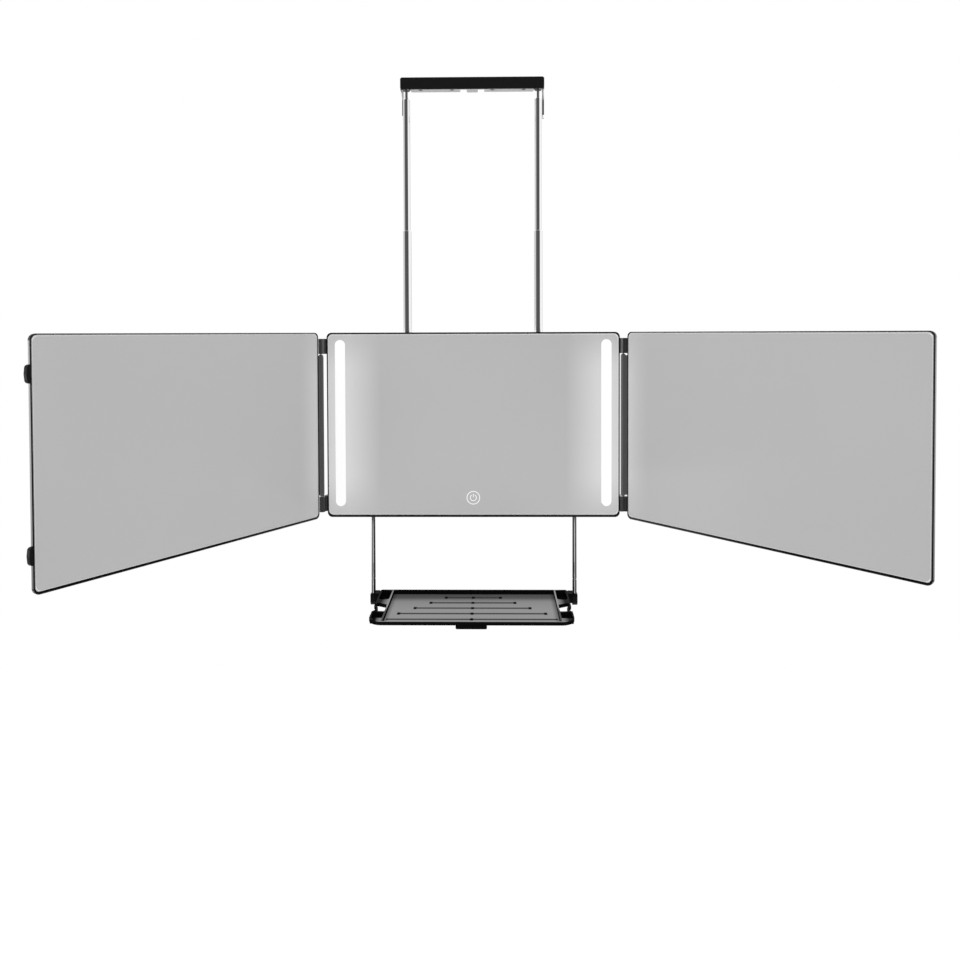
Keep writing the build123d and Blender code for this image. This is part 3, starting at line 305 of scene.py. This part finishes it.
def main_shader(material):
    """The shader that every material of a piece has."""
    return material.node_tree.nodes["Principled BSDF"]


def grain(material, size, colour, variation, roughness, spread, height, stretch=EVEN):
    """Fine unevenness in a material's colour, gloss and surface, with grains of the size given."""
    tree, shader = material.node_tree, main_shader(material)
    place = add(tree, "ShaderNodeMapping", Vector=own_vector(tree), Scale=stretch).outputs[0]
    fine = add(tree, "ShaderNodeTexNoise", Vector=place, Scale=1 / size, Detail=3.0, Roughness=0.6)
    wide = add(tree, "ShaderNodeTexNoise", Vector=place, Scale=CLOUD / size, Detail=2.0, Roughness=0.5)
    both = sums(tree, "ADD", sums(tree, "MULTIPLY", fine.outputs["Fac"], FINE_SHARE),
                sums(tree, "MULTIPLY", wide.outputs["Fac"], 1 - FINE_SHARE))
    darker = [c * (1 - variation) for c in colour]
    lighter = [c * (1 + variation) for c in colour]
    bump = add(tree, "ShaderNodeBump", Height=fine.outputs["Fac"], Strength=BUMP_STRENGTH,
               Distance=height)
    feed(tree, shader.inputs["Base Color"], blend(tree, both, darker, lighter))
    feed(tree, shader.inputs["Roughness"],
         ramp(tree, both, *NOISE_SPAN, roughness - spread, roughness + spread))
    feed(tree, shader.inputs["Normal"], bump.outputs[0])


def plastic(name, colour, roughness, size, height, specular=0.5, variation=0.12):
    """Moulded plastic with a fine eroded grain."""
    material = new_material(name, colour, roughness, specular=specular)
    grain(material, size, colour, variation, roughness, PLASTIC_SPREAD, height)
    return material


def drawn_metal(name, colour, roughness, stretch, spread=0.03):
    """Metal with fine lines along the direction that it was drawn or ground in."""
    material = new_material(name, colour, roughness, metallic=1.0)
    grain(material, METAL_GRAIN, colour, METAL_VARIATION, roughness, spread, METAL_BUMP, stretch)
    return material


def frosted_light(name, grey, strength):
    """Frosted diffuser that glows evenly."""
    material = plastic(name, (grey,) * 3, 0.55, 0.0006, 0.00001, specular=0.2, variation=0.02)
    shader = main_shader(material)
    feed(material.node_tree, shader.inputs["Emission Color"], WHITE)
    shader.inputs["Emission Strength"].default_value = strength
    return material


def polish(material, weight, roughness, ior=1.5):
    """A clear glossy skin over a moulded surface."""
    inputs = main_shader(material).inputs
    feed(material.node_tree, inputs["Coat Weight"], weight)
    inputs["Coat Roughness"].default_value = roughness
    inputs["Coat IOR"].default_value = ior


def paint_over(material, share, colour):
    """Another colour on top of a material's own, where the share says so."""
    tree = material.node_tree
    base = main_shader(material).inputs["Base Color"]
    feed(tree, base, blend(tree, share, base.links[0].from_socket, colour))


def middle_of(box):
    """The middle of a box, given as its two corners."""
    low, high = box
    return (low + high) / 2


def fold_angle(side):
    """How far a panel's plane is turned from the centre's at rest, read from its joint."""
    if side == "centre":
        return 0.0
    joint = next(j for j in frame["joints"] if j["name"] == "wing_" + side + "_fold")
    return radians(joint["range_deg"][0]) * OUTWARDS[side]


# ---------------------------------------------------------------- mirrors
# The glass's even grey is a painted reflection of the studio, and its bright bevel is a painted highlight.
MIRROR_GREY = 0.47
MIRROR_ROUGHNESS = 0.12
MIRROR_SPECULAR = 0.15
BEVEL_GREY = 0.64
CORNER_GREY = 0.8                  # of the bevel's painted highlight, brighter in the middle of a corner as a painted glint
BEVEL_WIDTH = 1.3 * MM
BEVEL_FULL = 0.75                  # of that width, from the edge; from there it turns into the face
GLASS_CORNER = 5.0 * MM
CLOUDS = (0.993, 1.007)            # a very faint unevenness
CLOUD_SCALE = 9.0
OUTER_SHADE = (0.3 * MM, 0.9 * MM)  # from a wing glass's outer edge, where its grey is darkened as painted shade
OUTER_DARK = 0.3
# from a wing glass's foot, where its grey is darkened as painted shade
FOOT_SHADE = (0.4 * MM, 0.8 * MM)
FOOT_DARK = 0.02
HINGE_GLOW = 0.13                  # painted glow on a wing, beside its hinge
HINGE_REACH = 26 * MM
HINGE_FALL = 1.4                   # power of its fall
HINGE_TALL = (45 * MM, 92 * MM)    # above and below the middle, where it fades
HINGE_FADED = 0.45
STRIP_GLOW = 0.26                  # painted glow on the centre glass, beside the light strips
STRIP_REACH = 40 * MM
STRIP_MOST = 0.8
STRIP_TALL = (48 * MM, 100 * MM)
STRIP_FADED = 0.2
# Painted light and shade: how much each glass's grey changes towards its left and its right side, and towards its
# foot.
MIRROR_SHADES = {
    "left": (0.01, 0.11, 0.02), "centre": (-0.03, -0.08, 0.13), "right": (0.055, -0.05, 0.02),
}


def own_frame(side):
    """Middle, turn and half sizes of a glass in its own plane at rest."""
    turn = fold_angle(side)
    node = NODES["centre_mirror" if side == "centre" else "wing_mirror_" + side]
    unturn = Matrix.Rotation(-turn, 3, "Z")
    points = [unturn @ vertex.co for vertex in node.data.vertices]
    low = Vector([min(point[axis] for point in points) for axis in range(3)])
    high = Vector([max(point[axis] for point in points) for axis in range(3)])
    return unturn.inverted() @ ((low + high) / 2), turn, (high - low) / 2


def bevel_shares(tree, across, up, half):
    """One on a glass's face and zero on its bevel; and one in the middle of the bevel's corners."""
    past_x, past_z = (
        sums(tree, "SUBTRACT", sums(tree, "ABSOLUTE", value), reach - GLASS_CORNER)
        for value, reach in ((across, half.x), (up, half.z)))
    out_x, out_z = (sums(tree, "MAXIMUM", past, 0.0) for past in (past_x, past_z))
    square = sums(tree, "ADD", sums(tree, "MULTIPLY", out_x, out_x), sums(tree, "MULTIPLY", out_z, out_z))
    outside = sums(tree, "SQRT", square)
    inside = sums(tree, "MINIMUM", sums(tree, "MAXIMUM", past_x, past_z), 0.0)
    depth = sums(tree, "SUBTRACT", GLASS_CORNER, sums(tree, "ADD", outside, inside))
    return (ramp(tree, depth, BEVEL_WIDTH * BEVEL_FULL, BEVEL_WIDTH),
            ramp(tree, sums(tree, "MINIMUM", out_x, out_z), 0.0, GLASS_CORNER / 2))


def strip_glow(tree, across, up):
    """Painted light: the light strips' glow on the centre glass, strongest beside them and at half height."""
    place = middle_of(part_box("light_strip_right")) - middle_of(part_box("centre_mirror"))
    aside = sums(tree, "ABSOLUTE", sums(tree, "SUBTRACT", sums(tree, "ABSOLUTE", across), place.x))
    rise = sums(tree, "ABSOLUTE", sums(tree, "SUBTRACT", up, place.z))
    near = sums(tree, "MINIMUM", ramp(tree, aside, 0.0, STRIP_REACH, 1.0, 0.0), STRIP_MOST)
    tall = ramp(tree, rise, *STRIP_TALL, 1.0, STRIP_FADED, smooth=True)
    return sums(tree, "MULTIPLY", sums(tree, "MULTIPLY", near, tall), STRIP_GLOW)


def hinge_glow(tree, edge, up):
    """A faint painted glow on a wing's glass, beside its hinge."""
    near = sums(tree, "POWER", ramp(tree, edge, 0.0, HINGE_REACH, 1.0, 0.0), HINGE_FALL)
    tall = ramp(tree, sums(tree, "ABSOLUTE", up), *HINGE_TALL, 1.0, HINGE_FADED, smooth=True)
    return sums(tree, "MULTIPLY", sums(tree, "MULTIPLY", near, tall), HINGE_GLOW)


def mirror_glass(side):
    """Silvered glass in a grey studio: an even grey face as a painted reflection, with a painted highlight on the
    ground bevel round it.
    """
    material = new_material("mirror_glass_" + side, (MIRROR_GREY,) * 3, MIRROR_ROUGHNESS,
                            specular=MIRROR_SPECULAR)
    tree, shader = material.node_tree, main_shader(material)
    middle, turn, half = own_frame(side)
    place = turned_back(tree, "Object", turn, middle)
    across, _, up = axes(tree, place)
    face, corner = bevel_shares(tree, across, up, half)
    bevel = blend(tree, corner, (BEVEL_GREY,) * 3, (CORNER_GREY,) * 3)
    # painted light and shade across and down the glass
    left, right, foot = MIRROR_SHADES[side]
    level = sums(tree, "ADD", ramp(tree, across, -half.x, half.x, 1 + left, 1 + right),
                 ramp(tree, up, -half.z, half.z, foot, 0.0))
    cloud = add(tree, "ShaderNodeTexNoise", Vector=place, Scale=CLOUD_SCALE, Detail=1.0).outputs["Fac"]
    level = sums(tree, "MULTIPLY", level, ramp(tree, cloud, *NOISE_SPAN, *CLOUDS))
    grey = add(tree, "ShaderNodeHueSaturation", Color=(MIRROR_GREY,) * 3, Value=level)
    # painted highlight on the bevel round the grey painted reflection
    colour = blend(tree, face, bevel, grey.outputs[0])
    if side == "centre":
        glow = strip_glow(tree, across, up)
    else:
        # painted shade in the gaps at the wing's outer edge and foot, and painted glow beside its hinge
        outwards = sums(tree, "MULTIPLY", across, OUTWARDS[side])
        from_outer = sums(tree, "SUBTRACT", half.x, outwards)
        from_foot = sums(tree, "ADD", up, half.z)
        shade = sums(tree, "MULTIPLY", ramp(tree, from_outer, *OUTER_SHADE, OUTER_DARK, 1.0),
                     ramp(tree, from_foot, *FOOT_SHADE, FOOT_DARK, 1.0))
        colour = add(tree, "ShaderNodeHueSaturation", Color=colour, Value=shade).outputs[0]
        glow = hinge_glow(tree, sums(tree, "ADD", half.x, outwards), up)
    feed(tree, shader.inputs["Base Color"], colour)
    # the glow is painted light, emitted by the glass itself
    emitted = add(tree, "ShaderNodeCombineXYZ", X=glow, Y=glow, Z=glow)
    feed(tree, shader.inputs["Emission Color"], emitted.outputs[0])
    shader.inputs["Emission Strength"].default_value = 1.0
    return material


# ---------------------------------------------------------------- plastics and metals of single pieces
# Painted highlights down the rounded fronts of the hinge blocks and bars: how far each one's middle lies
# from the object's middle plane, and its half width.
BLOCK_HIGHLIGHT_BAND = {"left": (147.4 * MM, 1.2 * MM), "right": (146.7 * MM, 1.3 * MM)}
# grey of the blocks' painted highlight
BLOCK_HIGHLIGHT_GREY = {"left": 0.09, "right": 0.16}
BLOCK_COAT = (0.5, 0.22)           # weight and roughness
BAR_HIGHLIGHT_BAND = {"left": (144.5 * MM, 1.5 * MM), "right": (145.6 * MM, 2.6 * MM)}
# grey of the bars' painted highlight
BAR_HIGHLIGHT_GREY = 0.14
BAR_COAT = (0.6, 0.3)
HIGHLIGHT_CORE = 0.1                  # of its half width, where the painted highlight is full
LOWER_BLOCK = 0.15                 # share of the painted highlight that is left on the lower block
BLOCK_CHANGE = 2 * MM              # height over which it gets its full strength
BROAD_SIDE = (0.6, 0.9)            # sideways share of a normal, where a hook arm's broad side and its painted dark reflection begin
ROD_INNER = (0.7 * MM, 1.3 * MM)   # from a tray rod's middle, where its side with a painted dark reflection begins
SHELL_OUTER = (0.86, 0.98)         # outward share of a normal, where a shell's outer side begins
SHELL_REAR = (0.75, 0.95)
SHELL_DULL = 0.06                  # gloss of the shell's other faces
SHELL_COAT = (0.04, 1.65)          # roughness and refraction of the gloss


def highlighted_plastic(kind, side, colour, light, highlight_bands, coat, above=None):
    """Dark polished plastic with a painted highlight stripe down its front, at one turn of its roundness."""
    material = plastic("hinge_" + kind + "_plastic_" + side, colour, 0.34, 0.0006, 0.000006)
    tree = material.node_tree
    across, _, up = axes(tree, own_vector(tree))
    middle, half = highlight_bands[side]
    off = sums(tree, "ABSOLUTE", sums(tree, "SUBTRACT", across, OUTWARDS[side] * middle))
    share = ramp(tree, off, HIGHLIGHT_CORE * half, half, 1.0, 0.0, smooth=True)
    if above is not None:
        strength = ramp(tree, up, above, above + BLOCK_CHANGE, LOWER_BLOCK, 1.0)
        share = sums(tree, "MULTIPLY", share, strength)
    # painted highlight down the front
    paint_over(material, share, (light,) * 3)
    polish(material, *coat)
    return material


def hinge_plastics(side):
    """The hinge's blocks and the round bar between them, each with a painted highlight, on the blocks mostly down
    the upper one.
    """
    halfway = middle_of(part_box("hinge_brackets_" + side)).z
    blocks = highlighted_plastic("block", side, (0.026, 0.026, 0.0265), BLOCK_HIGHLIGHT_GREY[side], BLOCK_HIGHLIGHT_BAND,
                             BLOCK_COAT, above=halfway)
    bar = highlighted_plastic("bar", side, (0.06, 0.06, 0.0605), BAR_HIGHLIGHT_GREY, BAR_HIGHLIGHT_BAND, BAR_COAT)
    return blocks, bar


def hook_metal():
    """Polished steel of the hook's arms, with a painted dark reflection on their broad sides, lighter on their
    edges.
    """
    material = drawn_metal("hook_steel", (0.86, 0.86, 0.87), 0.1, ALONG_X)
    tree = material.node_tree
    sideways = sums(tree, "ABSOLUTE", axes(tree, own_vector(tree, "Normal"))[0])
    # painted dark reflection on the broad sides
    paint_over(material, ramp(tree, sideways, *BROAD_SIDE), (0.4, 0.4, 0.405))
    return material


def tray_rod_metal(side):
    """Chrome of a tray rod, with a painted dark reflection along the side that faces the other rod."""
    material = drawn_metal("tray_rod_chrome_" + side, (0.9, 0.9, 0.91), 0.045, ALONG_Z, spread=0.015)
    tree = material.node_tree
    middle = middle_of(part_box("tray_rod_" + side))
    off = sums(tree, "SUBTRACT", axes(tree, own_vector(tree))[0], middle.x)
    inwards = sums(tree, "MULTIPLY", off, -OUTWARDS[side])
    # painted dark reflection on the inner side
    paint_over(material, ramp(tree, inwards, *ROD_INNER, smooth=True), (0.16, 0.16, 0.163))
    return material


def shell_plastic(side):
    """Black gloss plastic of a wing's shell, bright behind and along its outer side, dull elsewhere."""
    material = plastic("black_shell_plastic_" + side, (0.0028, 0.0028, 0.003), 0.16, 0.0009, 0.000002,
                       specular=0.3)
    tree = material.node_tree
    across, back, _ = axes(tree, turned_back(tree, "Normal", fold_angle(side)))
    outwards = sums(tree, "MULTIPLY", across, OUTWARDS[side])
    outer = ramp(tree, outwards, *SHELL_OUTER, SHELL_DULL, 1.0)
    gloss = sums(tree, "MAXIMUM", outer, ramp(tree, back, *SHELL_REAR))
    polish(material, gloss, *SHELL_COAT)
    return material


# ---------------------------------------------------------------- tray
TRAY_DEPTH = 94.4 * MM
FLOOR_HALF = 79.7 * MM             # tray floor's half width, to its dividers
FLOOR_SIDE = 0.05 * MM             # beyond it, what still belongs to the floor
BELOW_TOP = 0.5 * MM               # the floor lies at least this far below the tray's top
DIVIDER = 1.4 * MM
DIVIDER_SHADE = (52 * MM, 64 * MM)  # from the rear edge, where a divider's top loses its shine
DIVIDER_DULL = 0.25
RIDGE = (0.55 * MM, 0.75 * MM)     # from a divider's middle, where its top ends
WALL_SHADE = 5 * MM                # beside the dividers, where the floor's gloss is cut as painted shade
WALL_DARK = 0.3
ENDS_SHADE = 8 * MM                # beyond the dividers, where the tray's ends lose their shine
ENDS_GLOSS = (0.85, 0.07)
CREASE = 0.2 * MM                  # painted shade line at a divider's foot
CREASE_DARK = 0.1
FRONT_RIM = (1.7 * MM, 1.5 * MM)   # from the front edge, where the front rim's shine begins
GROOVE_FIRST = 19.0 * MM           # from the tray's rear edge
GROOVE_STEP = 15.6 * MM
GROOVE_HALF = 26.5 * MM
GROOVE_LONGER = 13.8 * MM          # each groove's half length beyond the one behind it
GROOVE_CLEAR = 3 * MM              # between a groove's end and a divider
GROOVE_LINE = (1.4 * MM, 2.8 * MM)  # from a groove's middle, over which its painted shade line fades out
GROOVE_DARK = 0.42
GROOVE_END = 1.5 * MM
FIRST_FAINT = 0.6                  # of its line is missing from the first groove
LAST_GROOVE = 4.0                  # its ends run up to the dividers, without holes
NO_HOLE = 10 * MM                  # added to the distance from a groove's end, where it has no hole
HOLE_ALONG = (1.0 * MM, 1.8 * MM)  # size of the painted shade spot round a drain hole
HOLE_ACROSS = (2.4 * MM, 3.8 * MM)
FACES_UP = (0.3, 0.8)              # upward share of a normal
SIDE_GLOSS = 0.1                   # share of the gloss that is left on upright faces
TRAY_COAT = 0.07                   # roughness of the gloss
# Gloss of the floor, by distance from the rear edge in millimetres: its rear is cut as painted shade of the wall.
FLOOR_GLOSS = (
    (0, 0.0), (1.5, 0.02), (4, 0.06), (7, 0.17), (10, 0.23), (16, 0.25), (21, 0.32), (26, 0.6),
    (31, 0.78), (36, 0.83), (56, 0.95), (95, 1.0),
)


def floor_gloss(tree, distance, aside):
    """Gloss of the tray's floor, cut as painted shade along its grooves, round its holes and beside its dividers.
    """
    wall = ramp(tree, aside, FLOOR_HALF - WALL_SHADE, FLOOR_HALF, 1.0, WALL_DARK)
    shifted = sums(tree, "ADD", distance, GROOVE_STEP / 2 - GROOVE_FIRST)
    within = sums(tree, "FLOORED_MODULO", shifted, GROOVE_STEP)
    off = sums(tree, "ABSOLUTE", sums(tree, "SUBTRACT", within, GROOVE_STEP / 2))
    index = sums(tree, "FLOOR", sums(tree, "DIVIDE", shifted, GROOVE_STEP))
    reach = sums(tree, "MULTIPLY_ADD", index, GROOVE_LONGER, GROOVE_HALF)
    reach = sums(tree, "MINIMUM", reach, FLOOR_HALF - GROOVE_CLEAR)
    beyond = sums(tree, "SUBTRACT", aside, reach)
    line = ramp(tree, off, *GROOVE_LINE, GROOVE_DARK, 1.0)
    faint = ramp(tree, index, 0.0, 1.0, FIRST_FAINT, 0.0)
    missing = sums(tree, "MULTIPLY", faint, sums(tree, "SUBTRACT", 1.0, line))
    groove = sums(tree, "MAXIMUM", sums(tree, "ADD", line, missing), ramp(tree, beyond, 0.0, GROOVE_END))
    past_last = ramp(tree, index, LAST_GROOVE - 1.0, LAST_GROOVE, 0.0, NO_HOLE)
    from_end = sums(tree, "ADD", sums(tree, "ABSOLUTE", beyond), past_last)
    hole = sums(tree, "MAXIMUM", ramp(tree, sums(tree, "MINIMUM", aside, from_end), *HOLE_ALONG),
                ramp(tree, off, *HOLE_ACROSS))
    gloss = graded(tree, distance, FLOOR_GLOSS, MM)
    # painted shade along the walls, grooves and holes
    for share in (wall, groove, hole):
        gloss = sums(tree, "MULTIPLY", gloss, share)
    return gloss


def rim_gloss(tree, distance, aside):
    """Gloss of the dividers' tops, with painted shade at their feet, the tray's ends and its front rim."""
    ends = ramp(tree, aside, FLOOR_HALF + DIVIDER, FLOOR_HALF + ENDS_SHADE, *ENDS_GLOSS)
    edge = sums(tree, "ABSOLUTE", sums(tree, "SUBTRACT", aside, FLOOR_HALF + DIVIDER / 2))
    ridge = ramp(tree, edge, *RIDGE, 1.0, 0.0)
    shade = ramp(tree, distance, *DIVIDER_SHADE, 1.0, DIVIDER_DULL)
    ends = sums(tree, "MULTIPLY_ADD", sums(tree, "SUBTRACT", shade, ends), ridge, ends)
    rim = sums(tree, "MULTIPLY", ends,
               ramp(tree, aside, FLOOR_HALF - CREASE, FLOOR_HALF, CREASE_DARK, 1.0))
    front = ramp(tree, distance, *(TRAY_DEPTH - inset for inset in FRONT_RIM))
    return sums(tree, "MAXIMUM", rim, front)


def tray_plastic():
    """Black plastic with a glossy grooved floor, with painted shade in its gloss along its walls, and dull ends.
    """
    material = plastic("black_tray_plastic", (0.0035, 0.0035, 0.0036), 0.4, 0.0006, 0.000006,
                       specular=0.0, variation=0.15)
    tree = material.node_tree
    across, back, up = axes(tree, own_vector(tree))
    low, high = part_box("tray")
    distance = sums(tree, "SUBTRACT", low.y + TRAY_DEPTH, back)
    aside = sums(tree, "ABSOLUTE", across)
    rim = rim_gloss(tree, distance, aside)
    on_floor = sums(tree, "MULTIPLY", sums(tree, "LESS_THAN", aside, FLOOR_HALF + FLOOR_SIDE),
                    sums(tree, "LESS_THAN", up, high.z - BELOW_TOP))
    difference = sums(tree, "SUBTRACT", floor_gloss(tree, distance, aside), rim)
    gloss = sums(tree, "MULTIPLY_ADD", difference, on_floor, rim)
    normal_up = axes(tree, own_vector(tree, "Normal"))[2]
    gloss = sums(tree, "MULTIPLY", gloss, ramp(tree, normal_up, *FACES_UP, SIDE_GLOSS, 1.0))
    polish(material, gloss, TRAY_COAT)
    return material


# ---------------------------------------------------------------- all the pieces' materials
def slot_materials():
    """The material of each slot of the record whose pieces don't all have their own.

    Plastics have their colour, roughness, size of grain and height of bump; metals their colour, roughness
    and direction of grain.
    """
    return {
        "black_metal": plastic("black_powder_coat", (0.0062, 0.0062, 0.0064), 0.42, 0.0005, 0.00002,
                               specular=0.2),
        "bright_steel": drawn_metal("bright_steel", (0.74, 0.74, 0.75), 0.24, ALONG_X),
        "dark_steel": drawn_metal("dark_steel", (0.26, 0.26, 0.27), 0.3, ALONG_Z),
        "chrome": drawn_metal("chrome_tube", (0.9, 0.9, 0.91), 0.045, ALONG_Z, spread=0.015),
        "black_matte": plastic("black_matte_plastic", (0.019, 0.019, 0.0195), 0.45, 0.00045, 0.00002),
        "black_tray": tray_plastic(),
        "frosted_strip": frosted_light("frosted_strip", grey=0.5, strength=0.52),
        "foam_tape": plastic("foam_tape", (0.82, 0.82, 0.8), 0.9, 0.0008, 0.0001, specular=0.2),
        "circuit_board": plastic("green_board", (0.03, 0.2, 0.09), 0.4, 0.0012, 0.00002),
        "led_board": plastic("white_board", (0.85, 0.85, 0.82), 0.4, 0.0012, 0.00002),
        "battery_pouch": plastic("battery_foil", (0.5, 0.51, 0.53), 0.35, 0.002, 0.00005),
        "slide_nylon": plastic("natural_nylon", (0.78, 0.78, 0.74), 0.5, 0.0008, 0.00002),
    }


def own_materials():
    """The materials of single nodes, which come before their slot's."""
    clip = plastic("black_clip_plastic", (0.0035, 0.0035, 0.0036), 0.4, 0.0006, 0.00001, specular=0.12)
    hook = hook_metal()
    own = {
        "front_frame": plastic("black_frame_plastic", (0.002, 0.002, 0.0021), 0.3, 0.0009, 0.000004,
                               specular=0.25),
        "rest_plate": plastic("light_steel", (0.66, 0.66, 0.665), 0.35, 0.0005, 0.000004, variation=0.04),
        "closing_clips": clip,
        "centre_mirror": mirror_glass("centre"),
    }
    for side in ("left", "right"):
        own["rod_lug_" + side] = clip
        own["hook_arm_" + side] = hook
        own["wing_mirror_" + side] = mirror_glass(side)
        own["wing_shell_" + side] = shell_plastic(side)
        own["tray_rod_" + side] = tray_rod_metal(side)
        own["hinge_brackets_" + side], own["hinge_bar_" + side] = hinge_plastics(side)
    return own


def make_materials():
    """Puts its own material or its slot's on every node of the record."""
    made, own = slot_materials(), own_materials()
    for part in frame["record"]["subparts"]:
        name = part["node"]
        materials = NODES[name].data.materials
        materials.clear()
        materials.append(own.get(name) or made[part["material_slot"]])


# ---------------------------------------------------------------- touch mark
MARK_RADIUS = 6.3 * MM
MARK_LINE = 0.75 * MM
MARK_PROUD = 0.05 * MM
SYMBOL_RADIUS = 3.0 * MM
SYMBOL_LINE = 0.7 * MM
SYMBOL_GAP = radians(34)           # half the opening at the symbol's top
BAR_TOP = 4.0 * MM
BAR_FOOT = 0.4 * MM
BAR_ROUND = 0.45 * SYMBOL_LINE     # radius of the bar's ends
RING_STEPS = 96
ROUND_STEPS = 6


def flat_ring(name, radius, line, gap=0.0):
    """A thin ring, or an arc open at its top, lying flat with its face up."""
    outer, inner = radius + line / 2, radius - line / 2
    bpy.ops.mesh.primitive_circle_add(vertices=RING_STEPS, radius=outer, fill_type="NOTHING")
    ring = bpy.context.object
    ring.name = name
    bpy.ops.object.mode_set(mode="EDIT")
    bpy.ops.mesh.select_all(action="SELECT")
    bpy.ops.mesh.extrude_region_move()
    bpy.ops.transform.resize(value=(inner / outer, inner / outer, 1.0))
    if gap:
        bpy.ops.mesh.select_all(action="DESELECT")
        bpy.ops.object.mode_set(mode="OBJECT")
        for face in ring.data.polygons:
            face.select = face.center.y > cos(gap) * face.center.length
        bpy.ops.object.mode_set(mode="EDIT")
        bpy.ops.mesh.select_mode(type="FACE")
        bpy.ops.mesh.delete(type="FACE")
        bpy.ops.mesh.select_mode(type="VERT")
    bpy.ops.object.mode_set(mode="OBJECT")
    return ring


def symbol_bar():
    """The upright line of the power symbol."""
    bpy.ops.mesh.primitive_plane_add(size=1.0, location=(0, (BAR_TOP + BAR_FOOT) / 2, 0))
    bar = bpy.context.object
    bar.scale = (SYMBOL_LINE, BAR_TOP - BAR_FOOT, 1.0)
    bpy.ops.object.transform_apply(location=True, scale=True)
    bpy.ops.object.mode_set(mode="EDIT")
    bpy.ops.mesh.select_all(action="SELECT")
    bpy.ops.mesh.bevel(offset=BAR_ROUND, segments=ROUND_STEPS, affect="VERTICES")
    bpy.ops.object.mode_set(mode="OBJECT")
    return bar


def touch_mark(material):
    """Frosted ring with a power symbol on the centre glass, in front of the touch sensor."""
    middle = middle_of(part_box("touch_board"))
    glass_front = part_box("centre_mirror")[0].y
    pieces = [flat_ring("touch_mark", MARK_RADIUS, MARK_LINE),
              flat_ring("arc", SYMBOL_RADIUS, SYMBOL_LINE, SYMBOL_GAP), symbol_bar()]
    bpy.ops.object.select_all(action="DESELECT")
    for piece in pieces:
        piece.select_set(True)
    mark = pieces[0]
    bpy.context.view_layer.objects.active = mark
    bpy.ops.object.join()
    thick = mark.modifiers.new("thickness", "SOLIDIFY")
    thick.thickness = 2 * MARK_PROUD
    thick.offset = 0.0
    bpy.ops.object.modifier_apply(modifier=thick.name)
    mark.rotation_euler = (pi / 2, 0, 0)
    mark.location = (middle.x, glass_front, middle.z)
    bpy.ops.object.transform_apply(location=True, rotation=True)
    bpy.ops.object.mode_set(mode="EDIT")
    bpy.ops.mesh.select_all(action="SELECT")
    bpy.ops.mesh.normals_make_consistent(inside=False)
    bpy.ops.object.mode_set(mode="OBJECT")
    mark.data.materials.clear()
    mark.data.materials.append(material)
    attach(mark, "panel")


# ---------------------------------------------------------------- making the scene
aim_camera()
make_world()
make_floor()
for lamp in LAMPS:
    softbox(*lamp)
make_materials()
touch_mark(frosted_light("frosted_mark", grey=0.7, strength=0.32))

bpy.context.scene.view_settings.view_transform = "Standard"
